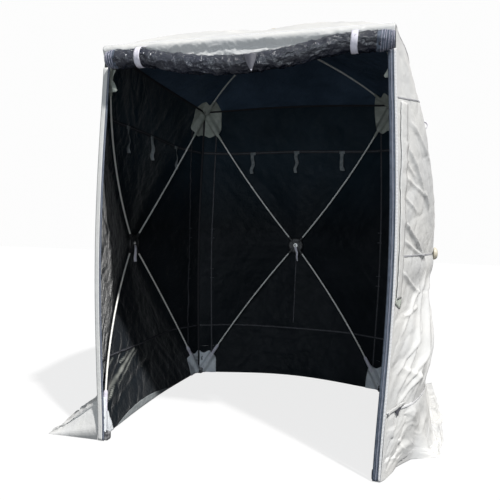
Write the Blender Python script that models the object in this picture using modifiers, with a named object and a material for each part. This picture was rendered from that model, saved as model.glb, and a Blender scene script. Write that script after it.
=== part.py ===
"""Pop-up work shelter tent: three fabric walls and a roof, each sprung outward by a hub with four rods.

Metres, +Z up. X runs from left to right as seen from the open front, Y from front to back.
The origin lies on the ground, under the middle of the tent and its skirts.
"""
import math

import bmesh
import bpy
from mathutils import Matrix, Vector

# Driving dimensions of the shelter
SIDE = 1.400
HEIGHT = 2.000
WALL_ROD_POP = 0.2045
ROOF_ROD_POP = 0.244
GAP = 0.0003

# Fabric, as solids thicker than the real cloth
FABRIC = 0.004
POP_ABOVE_RODS = 0.0275
AXIS_POWER = 1.15
RIDGE_POWER = 1.42
RIDGE_ROUNDING = 0.10
BOW_POWER = 1.6
EDGE_BOW = 0.035
EAVE_OUT = 0.070
EAVE_UP = 0.035
HEM_BOW = {"left": 0.030, "back": 0.150, "right": 0.230}
HEM_LIFT = 0.003
COLUMNS = 12
SKIRT_SEAM = {"left": 0.200, "back": 0.200, "right": 0.300}
LOWER_SEAM = 0.360
UPPER_SEAM = 1.690
WALL_ROWS = (HEM_LIFT, 0.085, SKIRT_SEAM["back"], SKIRT_SEAM["right"], LOWER_SEAM, 0.520, 0.680, 0.840, 1.000,
             1.170, 1.340, 1.510, UPPER_SEAM, 1.800, 1.900, HEIGHT - GAP)

# Skirts that lie on the ground
SKIRT_REACH = 0.360
SKIRT_REACH_AT_CORNER = 0.300
SKIRT_THICK = 0.003
SKIRT_LIFT = 0.0008
SKIRT_PROFILE = ((0.0, 1.0), (0.10, 0.625), (0.26, 0.300), (0.46, 0.080), (0.70, 0.0), (1.0, 0.0))
SKIRT_GATHER = {"left": 0.0, "back": 0.0, "right": 0.80}
SKIRT_GATHER_FROM = 0.42
SKIRT_MITRE_GAP = 0.012
SKIRT_STANDOFF = 0.0048
SKIRT_STANDOFF_AT_CORNER = 0.0095

# Rods
ROD_RADIUS = 0.0055
ROD_OUT_BOW = 0.021
ROD_TIP_INSET = {"left": 0.014, "back": 0.014, "right": 0.014, "roof": 0.022}
ROD_SIDE_INSET = 0.033
ROD_TOP_INSET = 0.045
ROD_FOOT_INSET = 0.022
ROD_STOPS = (0.03, 0.13, 0.25, 0.38, 0.52, 0.66, 0.88, 1.0)
SIDE_BOW = {"left": 0.060, "back": 0.035, "right": 0.060, "roof": 0.028}

# Hubs, with sizes from the rods' plane at the hub
BORE_RADIUS = ROD_RADIUS + 0.0006
HUB_RADIUS = 0.056
HUB_INNER_DEPTH = 0.0125
HUB_RIM = 0.0085
STEM_RADIUS = 0.0085
CAP_RADIUS = 0.034
CAP_HEIGHT = 0.030
CAP_LIFT = 0.0012
CAP_UNDERCUT = 0.004
BOLT_RADIUS = 0.009
BOLT_HEAD = 0.007
WASHER_RADIUS = 0.016
WASHER_THICK = 0.002
PULL_STRAP_WIDTH = 0.020
PULL_STRAP_THICK = 0.0025
PULL_STRAP_LENGTH = 0.105

# Corner sockets, of which the low ones are the feet, and corner patches
FOOT_SIZE = 0.050
FOOT_HEIGHT = 0.052
FOOT_INSET = 0.0055
SOCKET_HEIGHT = 0.070
PATCH_THICK = 0.0025
PATCH_GAP = 0.0009

# Front: header band, rolled door and its straps, zips
BAND_THICK = 0.004
HEADER_RISE = 0.003
ROLL_RADIUS = 0.045
ROLL_ENDS = (-0.655, 0.700)
ROLL_HIGH = 1.915
ROLL_SAG = 0.060
ROLL_STOPS = (0.0, 0.12, 0.23, 0.33, 0.40, 0.455)
STRAP_X = {"left": -0.475, "right": 0.535}
STRAP_WIDTH = 0.030
STRAP_THICK = 0.0025
STRAP_CLEAR = 0.0012
STRAP_TOP = 1.998
ZIP_WIDTH = 0.036
ZIP_THICK = 0.003

# Webbing ties under the upper seam
TIE_COLUMNS = {"left": (2, 5, 8), "back": (3, 6, 9), "right": (4, 7, 10)}
TIE_WIDTH = 0.025
TIE_LENGTH = 0.160
TAPE_HEIGHT = 0.020
TAPE_THICK = 0.002

FRONT_GAP = 0.0026
ROLL_BACK = FRONT_GAP + BAND_THICK + STRAP_THICK + 3 * GAP
ROLL_FRONT = ROLL_BACK + 2 * ROLL_RADIUS + STRAP_CLEAR + STRAP_THICK
FRONT_Y = (ROLL_FRONT - SIDE - SKIRT_REACH) / 2
BACK_Y = FRONT_Y + SIDE
MIDDLE_Y = FRONT_Y + SIDE / 2
HALF = SIDE / 2


def clear_scene():
    """Removes what the scene holds at the start."""
    for found in list(bpy.data.objects):
        bpy.data.objects.remove(found, do_unlink=True)


def new_collection(name):
    """A collection linked to the scene."""
    made = bpy.data.collections.new(name)
    bpy.context.scene.collection.children.link(made)
    return made


def new_material(name, colour, roughness, metallic=0.0):
    """A Principled material of one colour."""
    made = bpy.data.materials.new(name)
    made.use_nodes = True
    shader = made.node_tree.nodes["Principled BSDF"]
    shader.inputs["Base Color"].default_value = (*colour, 1.0)
    shader.inputs["Roughness"].default_value = roughness
    shader.inputs["Metallic"].default_value = metallic
    made.diffuse_color = (*colour, 1.0)
    return made


clear_scene()
PARTS = new_collection("work_shelter_tent")
CUTTERS = new_collection("cutters")

MATERIALS = {
    "white_fabric": new_material("white_fabric", (0.80, 0.80, 0.78), 0.65),
    "black_fabric": new_material("black_fabric", (0.020, 0.022, 0.028), 0.60),
    "grey_fabric": new_material("grey_fabric", (0.42, 0.45, 0.42), 0.75),
    "webbing": new_material("webbing", (0.62, 0.60, 0.68), 0.80),
    "dark_webbing": new_material("dark_webbing", (0.12, 0.13, 0.14), 0.80),
    "zip_tape": new_material("zip_tape", (0.20, 0.22, 0.30), 0.60),
    "fibreglass": new_material("fibreglass", (0.72, 0.71, 0.64), 0.35),
    "black_plastic": new_material("black_plastic", (0.03, 0.03, 0.03), 0.45),
    "grey_plastic": new_material("grey_plastic", (0.14, 0.14, 0.15), 0.50),
}


def finish(made, name, material):
    """Names an object, gives it its material and moves it to the parts."""
    made.name = name
    made.data.name = name
    made.data.materials.clear()
    made.data.materials.append(MATERIALS[material])
    for holder in list(made.users_collection):
        holder.objects.unlink(made)
    PARTS.objects.link(made)
    return made


def as_cutter(made):
    """Marks an object as a cutter and moves it to the cutters."""
    made.hide_render = True
    made.display_type = "WIRE"
    for holder in list(made.users_collection):
        holder.objects.unlink(made)
    CUTTERS.objects.link(made)
    return made


class Panel:
    """A wall or the roof: the flat rectangle between four corners, and the fabric that bows out of it."""

    def __init__(self, name, centre, out, up, half_up, rod_pop, rows, edges):
        self.name = name
        self.centre = Vector(centre)
        self.out = Vector(out)
        self.up = Vector(up)
        self.across = self.up.cross(self.out)
        self.half_up = half_up
        self.rod_pop = rod_pop
        self.pop = rod_pop + POP_ABOVE_RODS
        self.rows = rows
        self.edges = edges

    def place(self, across, up, out):
        """A point at distances in metres from the panel's centre."""
        return self.centre + self.across * across + self.up * up + self.out * out

    def smooth_point(self, u, v):
        """The fabric's inner face at u and v, which run from -1 to 1 between the edges."""
        wide = abs(u)
        high = abs(v)
        rounding = RIDGE_ROUNDING * math.sqrt(max(0.0, (1 - u * u) * (1 - v * v)))
        ring = (wide + high + math.hypot(wide - high, rounding)) / 2
        ring -= rounding / 2 * (1 - ring)
        share = min(wide, high) / max(wide, high, 0.001)
        power = AXIS_POWER + (RIDGE_POWER - AXIS_POWER) * share
        out = self.pop * (1 - max(ring, 0.0) ** power)
        across = u * (HALF - GAP / 2)
        up = v * self.half_up
        for along, sign, bow_out, bow_side in self.edges:
            near = max(0.0, sign * (u if along == "up" else v))
            other = v if along == "up" else u
            curve = max(0.0, 1 - other * other) ** BOW_POWER
            out += bow_out * curve * near
            if along == "up":
                across += sign * bow_side * curve * near * near
            else:
                up += sign * bow_side * curve * near * near
        return self.place(across, up, out)

    def column(self, index):
        """u at a column of the fabric's grid."""
        return -1 + 2 * index / COLUMNS

    def row(self, index):
        """v at a row of the fabric's grid."""
        return self.rows[index]

    def point(self, u, v, inward=0.0):
        """The fabric's inner face as the grid's flat faces have it, moved inward."""
        place = (u + 1) / 2 * COLUMNS
        left = min(int(place), COLUMNS - 1)
        side = place - left
        low = 0
        while low < len(self.rows) - 2 and v > self.rows[low + 1]:
            low += 1
        rise = (v - self.rows[low]) / (self.rows[low + 1] - self.rows[low])
        near_low, far_low, near_high, far_high = [
            self.smooth_point(self.column(left + i), self.row(low + j)) for j in (0, 1) for i in (0, 1)]
        if u * v > 0 and side >= rise:
            found = near_low + (far_low - near_low) * side + (far_high - far_low) * rise
        elif u * v > 0:
            found = near_low + (near_high - near_low) * rise + (far_high - near_high) * side
        elif side + rise <= 1:
            found = near_low + (far_low - near_low) * side + (near_high - near_low) * rise
        else:
            found = far_high + (near_high - far_high) * (1 - side) + (far_low - far_high) * (1 - rise)
        return found - self.out * inward


def wall_rows():
    """v at each row of a wall's grid."""
    return [(height - HEIGHT / 2) / (HEIGHT / 2) for height in WALL_ROWS]


def roof_rows():
    """v at each row of the roof's grid."""
    return [-1 + 2 * index / COLUMNS for index in range(COLUMNS + 1)]


def wall_edges(name, sides):
    """A wall's four edges: which way each runs, its end, how far it bows out and sideways."""
    found = [("across", -1, HEM_BOW[name], 0.0), ("across", 1, EAVE_OUT, EAVE_UP)]
    for sign, sideways in sides:
        found.append(("up", sign, EDGE_BOW, sideways))
    return found


PANELS = {
    "left": Panel("left", (-HALF, MIDDLE_Y, HEIGHT / 2), (-1, 0, 0), (0, 0, 1), HEIGHT / 2,
                  WALL_ROD_POP, wall_rows(), wall_edges("left", [(-1, EDGE_BOW), (1, 0.0)])),
    "back": Panel("back", (0, BACK_Y, HEIGHT / 2), (0, 1, 0), (0, 0, 1), HEIGHT / 2,
                  WALL_ROD_POP, wall_rows(), wall_edges("back", [(-1, EDGE_BOW), (1, EDGE_BOW)])),
    "right": Panel("right", (HALF, MIDDLE_Y, HEIGHT / 2), (1, 0, 0), (0, 0, 1), HEIGHT / 2,
                   WALL_ROD_POP, wall_rows(), wall_edges("right", [(-1, 0.0), (1, EDGE_BOW)])),
    "roof": Panel("roof", (0, MIDDLE_Y, HEIGHT), (0, 0, 1), (0, 1, 0), HALF - GAP / 2,
                  ROOF_ROD_POP, roof_rows(),
                  [("up", -1, EAVE_UP, EAVE_OUT), ("up", 1, EAVE_UP, EAVE_OUT),
                   ("across", 1, EAVE_UP, EAVE_OUT)]),
}
WALLS = ("left", "back", "right")


def grid_object(name, material, columns, rows, place):
    """A grid of quads whose points are placed by their column and row."""
    bpy.ops.mesh.primitive_grid_add(x_subdivisions=columns, y_subdivisions=rows, size=2)
    made = bpy.context.object
    for vertex in made.data.vertices:
        column = round((vertex.co.x + 1) / 2 * columns)
        row = round((vertex.co.y + 1) / 2 * rows)
        vertex.co = place(column, row)
    return finish(made, name, material)


def thicken(made, thickness, outward=True):
    """Gives an open sheet its thickness on one side."""
    shell = made.modifiers.new("thickness", "SOLIDIFY")
    shell.thickness = thickness
    shell.offset = 1.0 if outward else -1.0
    shell.use_even_offset = True
    return made


def apply_modifiers(made):
    """Replaces a mesh or curve object by a mesh object of what it evaluates to."""
    graph = bpy.context.evaluated_depsgraph_get()
    mesh = bpy.data.meshes.new_from_object(made.evaluated_get(graph))
    work = bmesh.new()
    work.from_mesh(mesh)
    bmesh.ops.remove_doubles(work, verts=work.verts, dist=0.00001)
    bmesh.ops.recalc_face_normals(work, faces=work.faces)
    work.to_mesh(mesh)
    work.free()
    placed = bpy.data.objects.new(made.name + "_mesh", mesh)
    placed.matrix_world = made.matrix_world
    for holder in made.users_collection:
        holder.objects.link(placed)
    bpy.data.objects.remove(made, do_unlink=True)
    return placed


def boolean(made, other, operation):
    """Joins or cuts an object with another, exactly."""
    step = made.modifiers.new(operation.lower(), "BOOLEAN")
    step.object = other
    step.operation = operation
    step.solver = "EXACT"


def cylinder_between(start, end, radius, sides=12):
    """A capped cylinder from one point to another."""
    axis = end - start
    bpy.ops.mesh.primitive_cylinder_add(vertices=sides, radius=radius, depth=axis.length)
    made = bpy.context.object
    turn = Vector((0, 0, 1)).rotation_difference(axis.normalized()).to_matrix().to_4x4()
    made.data.transform(Matrix.Translation((start + end) / 2) @ turn)
    return made


def split_along_ridges(made, panel):
    """Splits the grid's quads so that their diagonals follow the ridges over the rods."""
    work = bmesh.new()
    work.from_mesh(made.data)
    rising = []
    falling = []
    for face in work.faces:
        way = face.calc_center_median() - panel.centre
        same = way.dot(panel.across) * way.dot(panel.up) > 0
        (rising if same else falling).append(face)
    bmesh.ops.triangulate(work, faces=rising, quad_method="FIXED")
    bmesh.ops.triangulate(work, faces=falling, quad_method="ALTERNATE")
    work.to_mesh(made.data)
    work.free()


def add_fabric(panel, node):
    """The panel's fabric: one sheet, with a hole for its hub's stem."""
    rows = len(panel.rows) - 1
    made = grid_object(node, "white_fabric", COLUMNS, rows,
                       lambda column, row: panel.smooth_point(panel.column(column), panel.row(row)))
    split_along_ridges(made, panel)
    thicken(made, FABRIC)
    hole = cylinder_between(panel.place(0, 0, panel.pop - 0.02), panel.place(0, 0, panel.pop + 0.02),
                            STEM_RADIUS + 2 * GAP, 16)
    hole.name = node + "_hole"
    as_cutter(hole)
    boolean(made, hole, "DIFFERENCE")
    return made


def add_skirt(name):
    """A skirt: sewn to its wall above the hem, and spread on the ground outside."""
    panel = PANELS[name]
    seam = SKIRT_SEAM[name]
    seam_row = (seam - HEIGHT / 2) / (HEIGHT / 2)

    def place(column, row):
        u = panel.column(column)
        standoff = SKIRT_STANDOFF + (SKIRT_STANDOFF_AT_CORNER - SKIRT_STANDOFF) * abs(u)
        top = panel.point(u, seam_row, -standoff)
        reach = SKIRT_REACH_AT_CORNER + (SKIRT_REACH - SKIRT_REACH_AT_CORNER) * (1 - u * u)
        near_front = max(0.0, -u * panel.across.y - SKIRT_GATHER_FROM) / (1 - SKIRT_GATHER_FROM)
        reach *= 1 - SKIRT_GATHER[name] * near_front
        share, rise = SKIRT_PROFILE[row]
        height = SKIRT_LIFT + (seam - SKIRT_LIFT) * rise
        start = (top - panel.centre).dot(panel.out)
        out = start + (reach - SKIRT_THICK - start) * share
        across = (top - panel.centre).dot(panel.across)
        mitred = (panel.name == "back") or (u * panel.across.y > 0)
        if mitred:
            across += u * max(0.0, out - start) * abs(u) - u * SKIRT_MITRE_GAP / 2
        return panel.place(across, height - HEIGHT / 2, out)

    made = grid_object(name + "_skirt", "white_fabric", COLUMNS, len(SKIRT_PROFILE) - 1, place)
    made.data.flip_normals()
    return thicken(made, SKIRT_THICK, outward=True)


def rod_point(panel, side, end, share):
    """A rod's centre line, from the hub at share 0 to its corner at share 1."""
    bow = 4 * share * (1 - share)
    inset = ROD_TOP_INSET if end > 0 else ROD_FOOT_INSET
    if panel.name == "roof":
        inset = ROD_SIDE_INSET
    reach_across = HALF - ROD_SIDE_INSET
    reach_up = panel.half_up - inset
    across = side * (reach_across * share + SIDE_BOW[panel.name] * bow)
    up = end * reach_up * share
    out = panel.rod_pop * (1 - share) - ROD_TIP_INSET[panel.name] * share + ROD_OUT_BOW * bow
    return panel.place(across, up, out)


def tube(name, points, radius, resolution=2):
    """A capped tube through a list of points."""
    curve = bpy.data.curves.new(name, "CURVE")
    curve.dimensions = "3D"
    curve.bevel_depth = radius
    curve.bevel_resolution = resolution
    curve.use_fill_caps = True
    spline = curve.splines.new("POLY")
    spline.points.add(len(points) - 1)
    for knot, point in zip(spline.points, points):
        knot.co = (*point, 1.0)
    made = bpy.data.objects.new(name, curve)
    bpy.context.scene.collection.objects.link(made)
    return made


def add_rod(panel, side, end, node):
    """One fibreglass rod, bent by the fabric it stretches."""
    points = [rod_point(panel, side, end, share) for share in ROD_STOPS]
    return finish(tube(node, points, ROD_RADIUS), node, "fibreglass")


def tip_line(panel, side, end, near, far):
    """Two points on a rod's last straight stretch, at distances from its tip."""
    tip = rod_point(panel, side, end, ROD_STOPS[-1])
    inner = rod_point(panel, side, end, ROD_STOPS[-2])
    way = (inner - tip).normalized()
    return tip + way * near, tip + way * far


def add_hub(name):
    """A hub: disc with four sockets, stem through the fabric, cap outside and bolt head inside."""
    panel = PANELS[name]
    inner = panel.rod_pop - HUB_INNER_DEPTH
    cap_low = panel.pop + FABRIC + CAP_LIFT
    cap_rim = cap_low + CAP_UNDERCUT
    cap_high = panel.pop + CAP_HEIGHT
    profile = [
        (0.0, cap_high), (0.018, cap_high), (0.029, cap_high - 0.006), (CAP_RADIUS, cap_rim + 0.004),
        (CAP_RADIUS, cap_rim), (STEM_RADIUS, cap_low), (STEM_RADIUS, panel.pop - 0.0028),
        (HUB_RADIUS - 0.006, panel.rod_pop + HUB_RIM), (HUB_RADIUS, panel.rod_pop + HUB_RIM - 0.003),
        (HUB_RADIUS, inner + 0.003), (HUB_RADIUS - 0.003, inner), (WASHER_RADIUS, inner),
        (WASHER_RADIUS, inner - WASHER_THICK), (BOLT_RADIUS, inner - WASHER_THICK),
        (BOLT_RADIUS, inner - WASHER_THICK - BOLT_HEAD), (0.0, inner - WASHER_THICK - BOLT_HEAD),
    ]
    mesh = bpy.data.meshes.new(name + "_hub")
    mesh.from_pydata([(r, 0, z) for r, z in profile], [(i, i + 1) for i in range(len(profile) - 1)], [])
    made = bpy.data.objects.new(name + "_hub", mesh)
    bpy.context.scene.collection.objects.link(made)
    turn = made.modifiers.new("turn", "SCREW")
    turn.steps = 16
    turn.render_steps = 16
    turn.use_merge_vertices = True
    turn.merge_threshold = 0.0001
    frame = Matrix((panel.across, panel.up, panel.out)).transposed().to_4x4()
    made.matrix_world = Matrix.Translation(panel.centre) @ frame
    bpy.context.view_layer.update()
    made = apply_modifiers(made)
    made.data.transform(made.matrix_world)
    made.matrix_world = Matrix.Identity(4)
    for side in (-1, 1):
        for end in (-1, 1):
            start = rod_point(panel, side, end, ROD_STOPS[0])
            way = (rod_point(panel, side, end, ROD_STOPS[1]) - start).normalized()
            bore = cylinder_between(start - way * GAP, start + way * 0.045, BORE_RADIUS)
            bore.name = f"{name}_bore_{side}_{end}"
            as_cutter(bore)
            boolean(made, bore, "DIFFERENCE")
    pivot = panel.place(0, 0, panel.rod_pop)
    made.data.transform(Matrix.Translation(-pivot))
    made.location = pivot
    return finish(made, name + "_hub", "black_plastic")


def add_pull_strap(name):
    """The short webbing strap that hangs from a hub's bolt, to pull the hub in by."""
    panel = PANELS[name]
    inner = panel.rod_pop - HUB_INNER_DEPTH
    if name == "roof":
        top = inner - WASHER_THICK - BOLT_HEAD - GAP
        low, high = panel.place(0, 0, top - PULL_STRAP_LENGTH), panel.place(0, 0, top)
        size = (PULL_STRAP_WIDTH, PULL_STRAP_THICK, PULL_STRAP_LENGTH)
    else:
        depth = inner - GAP - PULL_STRAP_THICK / 2
        drop = WASHER_RADIUS + GAP
        low, high = panel.place(0, -drop - PULL_STRAP_LENGTH, depth), panel.place(0, -drop, depth)
        across = panel.across * PULL_STRAP_WIDTH
        thick = panel.out * PULL_STRAP_THICK
        size = (abs(across.x) + abs(thick.x), abs(across.y) + abs(thick.y), PULL_STRAP_LENGTH)
    bpy.ops.mesh.primitive_cube_add(size=1)
    made = bpy.context.object
    for vertex in made.data.vertices:
        vertex.co = Vector([a * b for a, b in zip(vertex.co, size)])
    made.location = (low + high) / 2
    return finish(made, name + "_hub_strap", "webbing")


def corner_panels(side, depth, top):
    """The panels that meet at a corner, each with the signs of that corner in the panel's own axes."""
    wall = "left" if side < 0 else "right"
    found = [(wall, depth * (1 if wall == "right" else -1), 1 if top else -1)]
    if depth > 0:
        found.append(("back", -side, 1 if top else -1))
    if top:
        found.append(("roof", side, depth))
    return found


def add_patch(side, depth, top, node):
    """A reinforced corner: one sheet folded over the inside of every panel that meets there."""
    bpy.ops.mesh.primitive_cube_add(size=2)
    made = bpy.context.object
    work = bmesh.new()
    work.from_mesh(made.data)
    every = work.verts[:] + work.edges[:] + work.faces[:]
    bmesh.ops.bisect_plane(work, geom=every, plane_co=(0, 0, 0), plane_no=(0, 0, 1))
    places = {}
    for name, across_sign, up_sign in corner_panels(side, depth, top):
        panel = PANELS[name]
        inner = len(panel.rows) - 1 if up_sign > 0 else 0
        for face in [found for found in work.faces if found.normal.dot(panel.out) > 0.9]:
            for vertex in face.verts:
                across = vertex.co.dot(panel.across) * across_sign
                up = vertex.co.dot(panel.up) * up_sign
                u = across_sign * (1 if across > 0 else 1 - 2 / COLUMNS)
                step = round(1 - up) if panel.name != "roof" else (0 if up > 0 else 1)
                point = panel.smooth_point(u, panel.row(abs(inner - step)))
                places.setdefault(vertex, []).append((panel, point))
            corners = sorted(face.verts, key=lambda found: found.co.dot(panel.across) * across_sign
                             + found.co.dot(panel.up) * up_sign)
            bmesh.utils.face_split(face, corners[0], corners[-1])
    bmesh.ops.delete(work, geom=[vertex for vertex in work.verts if vertex not in places], context="VERTS")
    for vertex, found in places.items():
        spot = found[0][1].copy()
        for panel, point in found:
            spot += panel.out * ((point - spot).dot(panel.out) - PATCH_GAP)
        vertex.co = spot
    work.to_mesh(made.data)
    work.free()
    thicken(made, PATCH_THICK, outward=False)
    return finish(made, node, "grey_fabric")


def add_socket(side, depth, top, node):
    """A plastic block in a corner, with a socket for each rod that ends there; the low ones are the feet."""
    bpy.ops.mesh.primitive_cube_add(size=1)
    made = bpy.context.object
    middle = FOOT_INSET + FOOT_SIZE / 2
    low = HEIGHT - FOOT_INSET - SOCKET_HEIGHT if top else 0.0
    high = HEIGHT - FOOT_INSET if top else FOOT_HEIGHT
    base = Vector((side * (HALF - middle), (BACK_Y if depth > 0 else FRONT_Y) - depth * middle, 0))
    for vertex in made.data.vertices:
        vertex.co.x *= FOOT_SIZE
        vertex.co.y *= FOOT_SIZE
        vertex.co.z = low if vertex.co.z < 0 else high
    made.location = base
    bevel = made.modifiers.new("rounding", "BEVEL")
    bevel.width = 0.006
    bevel.segments = 1
    bevel.limit_method = "ANGLE"
    for name, across_sign, up_sign in corner_panels(side, depth, top):
        start, stop = tip_line(PANELS[name], across_sign, up_sign, -GAP, 0.09)
        bore = cylinder_between(start, stop, BORE_RADIUS)
        bore.name = f"{node}_{name}_bore"
        as_cutter(bore)
        boolean(made, bore, "DIFFERENCE")
    return finish(made, node, "grey_plastic")


def add_box(node, material, low, high):
    """A box between two corners."""
    bpy.ops.mesh.primitive_cube_add(size=1)
    made = bpy.context.object
    low = Vector(low)
    high = Vector(high)
    for vertex in made.data.vertices:
        vertex.co = Vector([a * b for a, b in zip(vertex.co, high - low)])
    made.location = (low + high) / 2
    return finish(made, node, material)


def roll_height(x):
    """The height of the rolled door's centre line: held at the straps, sagging between them."""
    share = min(1.0, abs(x) / ROLL_STOPS[-1])
    return ROLL_HIGH - ROLL_SAG * (1 - share * share)


def roll_stops(left, right):
    """Where a piece along the front changes height, between its two ends."""
    return [left] + [-x for x in reversed(ROLL_STOPS[1:])] + list(ROLL_STOPS) + [right]


def add_header():
    """The top strip of the door, which hangs from the roof's front edge down behind the roll."""
    stops = roll_stops(-HALF, HALF)

    def place(column, row):
        x = stops[column]
        return Vector((x, FRONT_Y - FRONT_GAP, HEIGHT + HEADER_RISE if row else roll_height(x)))

    made = grid_object("front_header", "white_fabric", len(stops) - 1, 1, place)
    return thicken(made, BAND_THICK)


def add_roll():
    """The front door, rolled up along its whole width."""
    points = [Vector((x, FRONT_Y - ROLL_BACK - ROLL_RADIUS, roll_height(x))) for x in roll_stops(*ROLL_ENDS)]
    return finish(tube("door_roll", points, ROLL_RADIUS, 3), "door_roll", "black_fabric")


def add_door_strap(word, node):
    """A strap sewn to the header, round the front of the rolled door and under it."""
    radius = ROLL_RADIUS + STRAP_CLEAR + STRAP_THICK / 2
    x = STRAP_X[word]
    centre_y = FRONT_Y - ROLL_BACK - ROLL_RADIUS
    centre_z = roll_height(x)
    curve = bpy.data.curves.new(node, "CURVE")
    curve.dimensions = "3D"
    curve.extrude = STRAP_WIDTH / 2
    steps = 12
    back = ROLL_BACK + ROLL_RADIUS - FRONT_GAP - BAND_THICK - STRAP_THICK / 2
    rise = STRAP_TOP - centre_z
    start = math.atan2(rise, back) + math.acos(radius / math.hypot(back, rise))
    stop = math.radians(292)
    points = [Vector((0, FRONT_Y - FRONT_GAP - BAND_THICK - STRAP_THICK / 2, STRAP_TOP))]
    for index in range(steps + 1):
        angle = start + (stop - start) * index / steps
        points.append(Vector((0, centre_y + radius * math.cos(angle), centre_z + radius * math.sin(angle))))
    spline = curve.splines.new("POLY")
    spline.points.add(len(points) - 1)
    for knot, point in zip(spline.points, points):
        knot.co = (point.y, point.z, 0.0, 1.0)
    made = bpy.data.objects.new(node, curve)
    bpy.context.scene.collection.objects.link(made)
    made.matrix_world = Matrix(((0, 0, 1, x), (1, 0, 0, 0), (0, 1, 0, 0), (0, 0, 0, 1)))
    thicken(made, STRAP_THICK)
    made.modifiers["thickness"].offset = 0.0
    made.modifiers["thickness"].use_even_offset = False
    return finish(made, node, "webbing")


def add_zip(side, node):
    """Half of the door's zip, sewn along a wall's front edge."""
    panel = PANELS["left" if side < 0 else "right"]
    edge = 1 if side < 0 else -1
    rows = [index for index, height in enumerate(WALL_ROWS) if height < ROLL_HIGH - 0.01]

    def place(column, row):
        point = panel.smooth_point(edge, panel.row(rows[row]))
        x = point.x + side * FABRIC - side * (ZIP_WIDTH + FABRIC) * column
        z = max(point.z, 0.004)
        return Vector((x, FRONT_Y - FRONT_GAP, z))

    made = grid_object(node, "zip_tape", 1, len(rows) - 1, place)
    return thicken(made, ZIP_THICK, outward=side < 0)


def add_ties(name, node):
    """A tape along the upper seam inside a wall, with three webbing ties that hang from it."""
    panel = PANELS[name]
    columns = TIE_COLUMNS[name]
    first, last = columns[0], columns[-1]

    def place(column, row):
        height = UPPER_SEAM - TAPE_HEIGHT / 2 + TAPE_HEIGHT / 2 * row
        v = (height - HEIGHT / 2) / (HEIGHT / 2)
        return panel.point(panel.column(first + column), v, PATCH_GAP)

    body = grid_object(node, "dark_webbing", last - first, 2, place)
    thicken(body, TAPE_THICK, outward=False)
    for column in columns:
        v = (UPPER_SEAM - TAPE_HEIGHT / 2 - HEIGHT / 2) / (HEIGHT / 2)
        top = panel.point(panel.column(column), (UPPER_SEAM - HEIGHT / 2) / (HEIGHT / 2), 0.0)
        seat = panel.point(panel.column(column), v, 0.0)
        across = (top - panel.centre).dot(panel.across)
        across -= math.copysign(TIE_WIDTH / 2, across) if abs(across) > TIE_WIDTH else 0.0
        out = min((top - panel.centre).dot(panel.out), (seat - panel.centre).dot(panel.out))
        height = (top - panel.centre).dot(panel.up)
        low = panel.place(across - TIE_WIDTH / 2, height - TIE_LENGTH, out - 0.0062)
        high = panel.place(across + TIE_WIDTH / 2, height, out - 0.0022)
        tie = add_box(f"{node}_tie_{column}", "dark_webbing",
                      [min(a, b) for a, b in zip(low, high)], [max(a, b) for a, b in zip(low, high)])
        as_cutter(tie)
        boolean(body, tie, "UNION")
    return body


def build():
    """Makes every piece of the shelter."""
    for name in WALLS:
        add_fabric(PANELS[name], name + "_wall")
        add_skirt(name)
        add_ties(name, name + "_wall_ties")
    add_fabric(PANELS["roof"], "roof_panel")
    for name, panel in PANELS.items():
        add_hub(name)
        add_pull_strap(name)
        for side in (-1, 1):
            for end in (-1, 1):
                add_rod(panel, side, end, rod_name(panel, side, end))
    for side in (-1, 1):
        for depth in (-1, 1):
            corner = corner_name(side, depth)
            add_socket(side, depth, False, corner + "_foot")
            add_socket(side, depth, True, corner + "_top_socket")
            add_patch(side, depth, False, corner + "_bottom_patch")
            add_patch(side, depth, True, corner + "_top_patch")
    add_header()
    add_roll()
    for side, word in ((-1, "left"), (1, "right")):
        add_door_strap(word, word + "_door_strap")
        add_zip(side, word + "_front_zip")


def corner_name(side, depth):
    """The plain name of a corner of the floor plan."""
    return ("back" if depth > 0 else "front") + ("_left" if side < 0 else "_right")


def rod_name(panel, side, end):
    """The plain name of a rod: its panel, and the corner it runs to."""
    point = rod_point(panel, side, end, 1.0)
    left_right = "left" if point.x < 0 else "right"
    front_back = "front" if point.y < MIDDLE_Y else "back"
    high_low = "upper" if end > 0 else "lower"
    if panel.name == "roof":
        return f"roof_rod_{front_back}_{left_right}"
    if panel.name == "back":
        return f"back_rod_{high_low}_{left_right}"
    return f"{panel.name}_rod_{high_low}_{front_back}"


build()
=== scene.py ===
import math

import bmesh
import bpy
import numpy as np
from mathutils import Matrix, Vector


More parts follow.
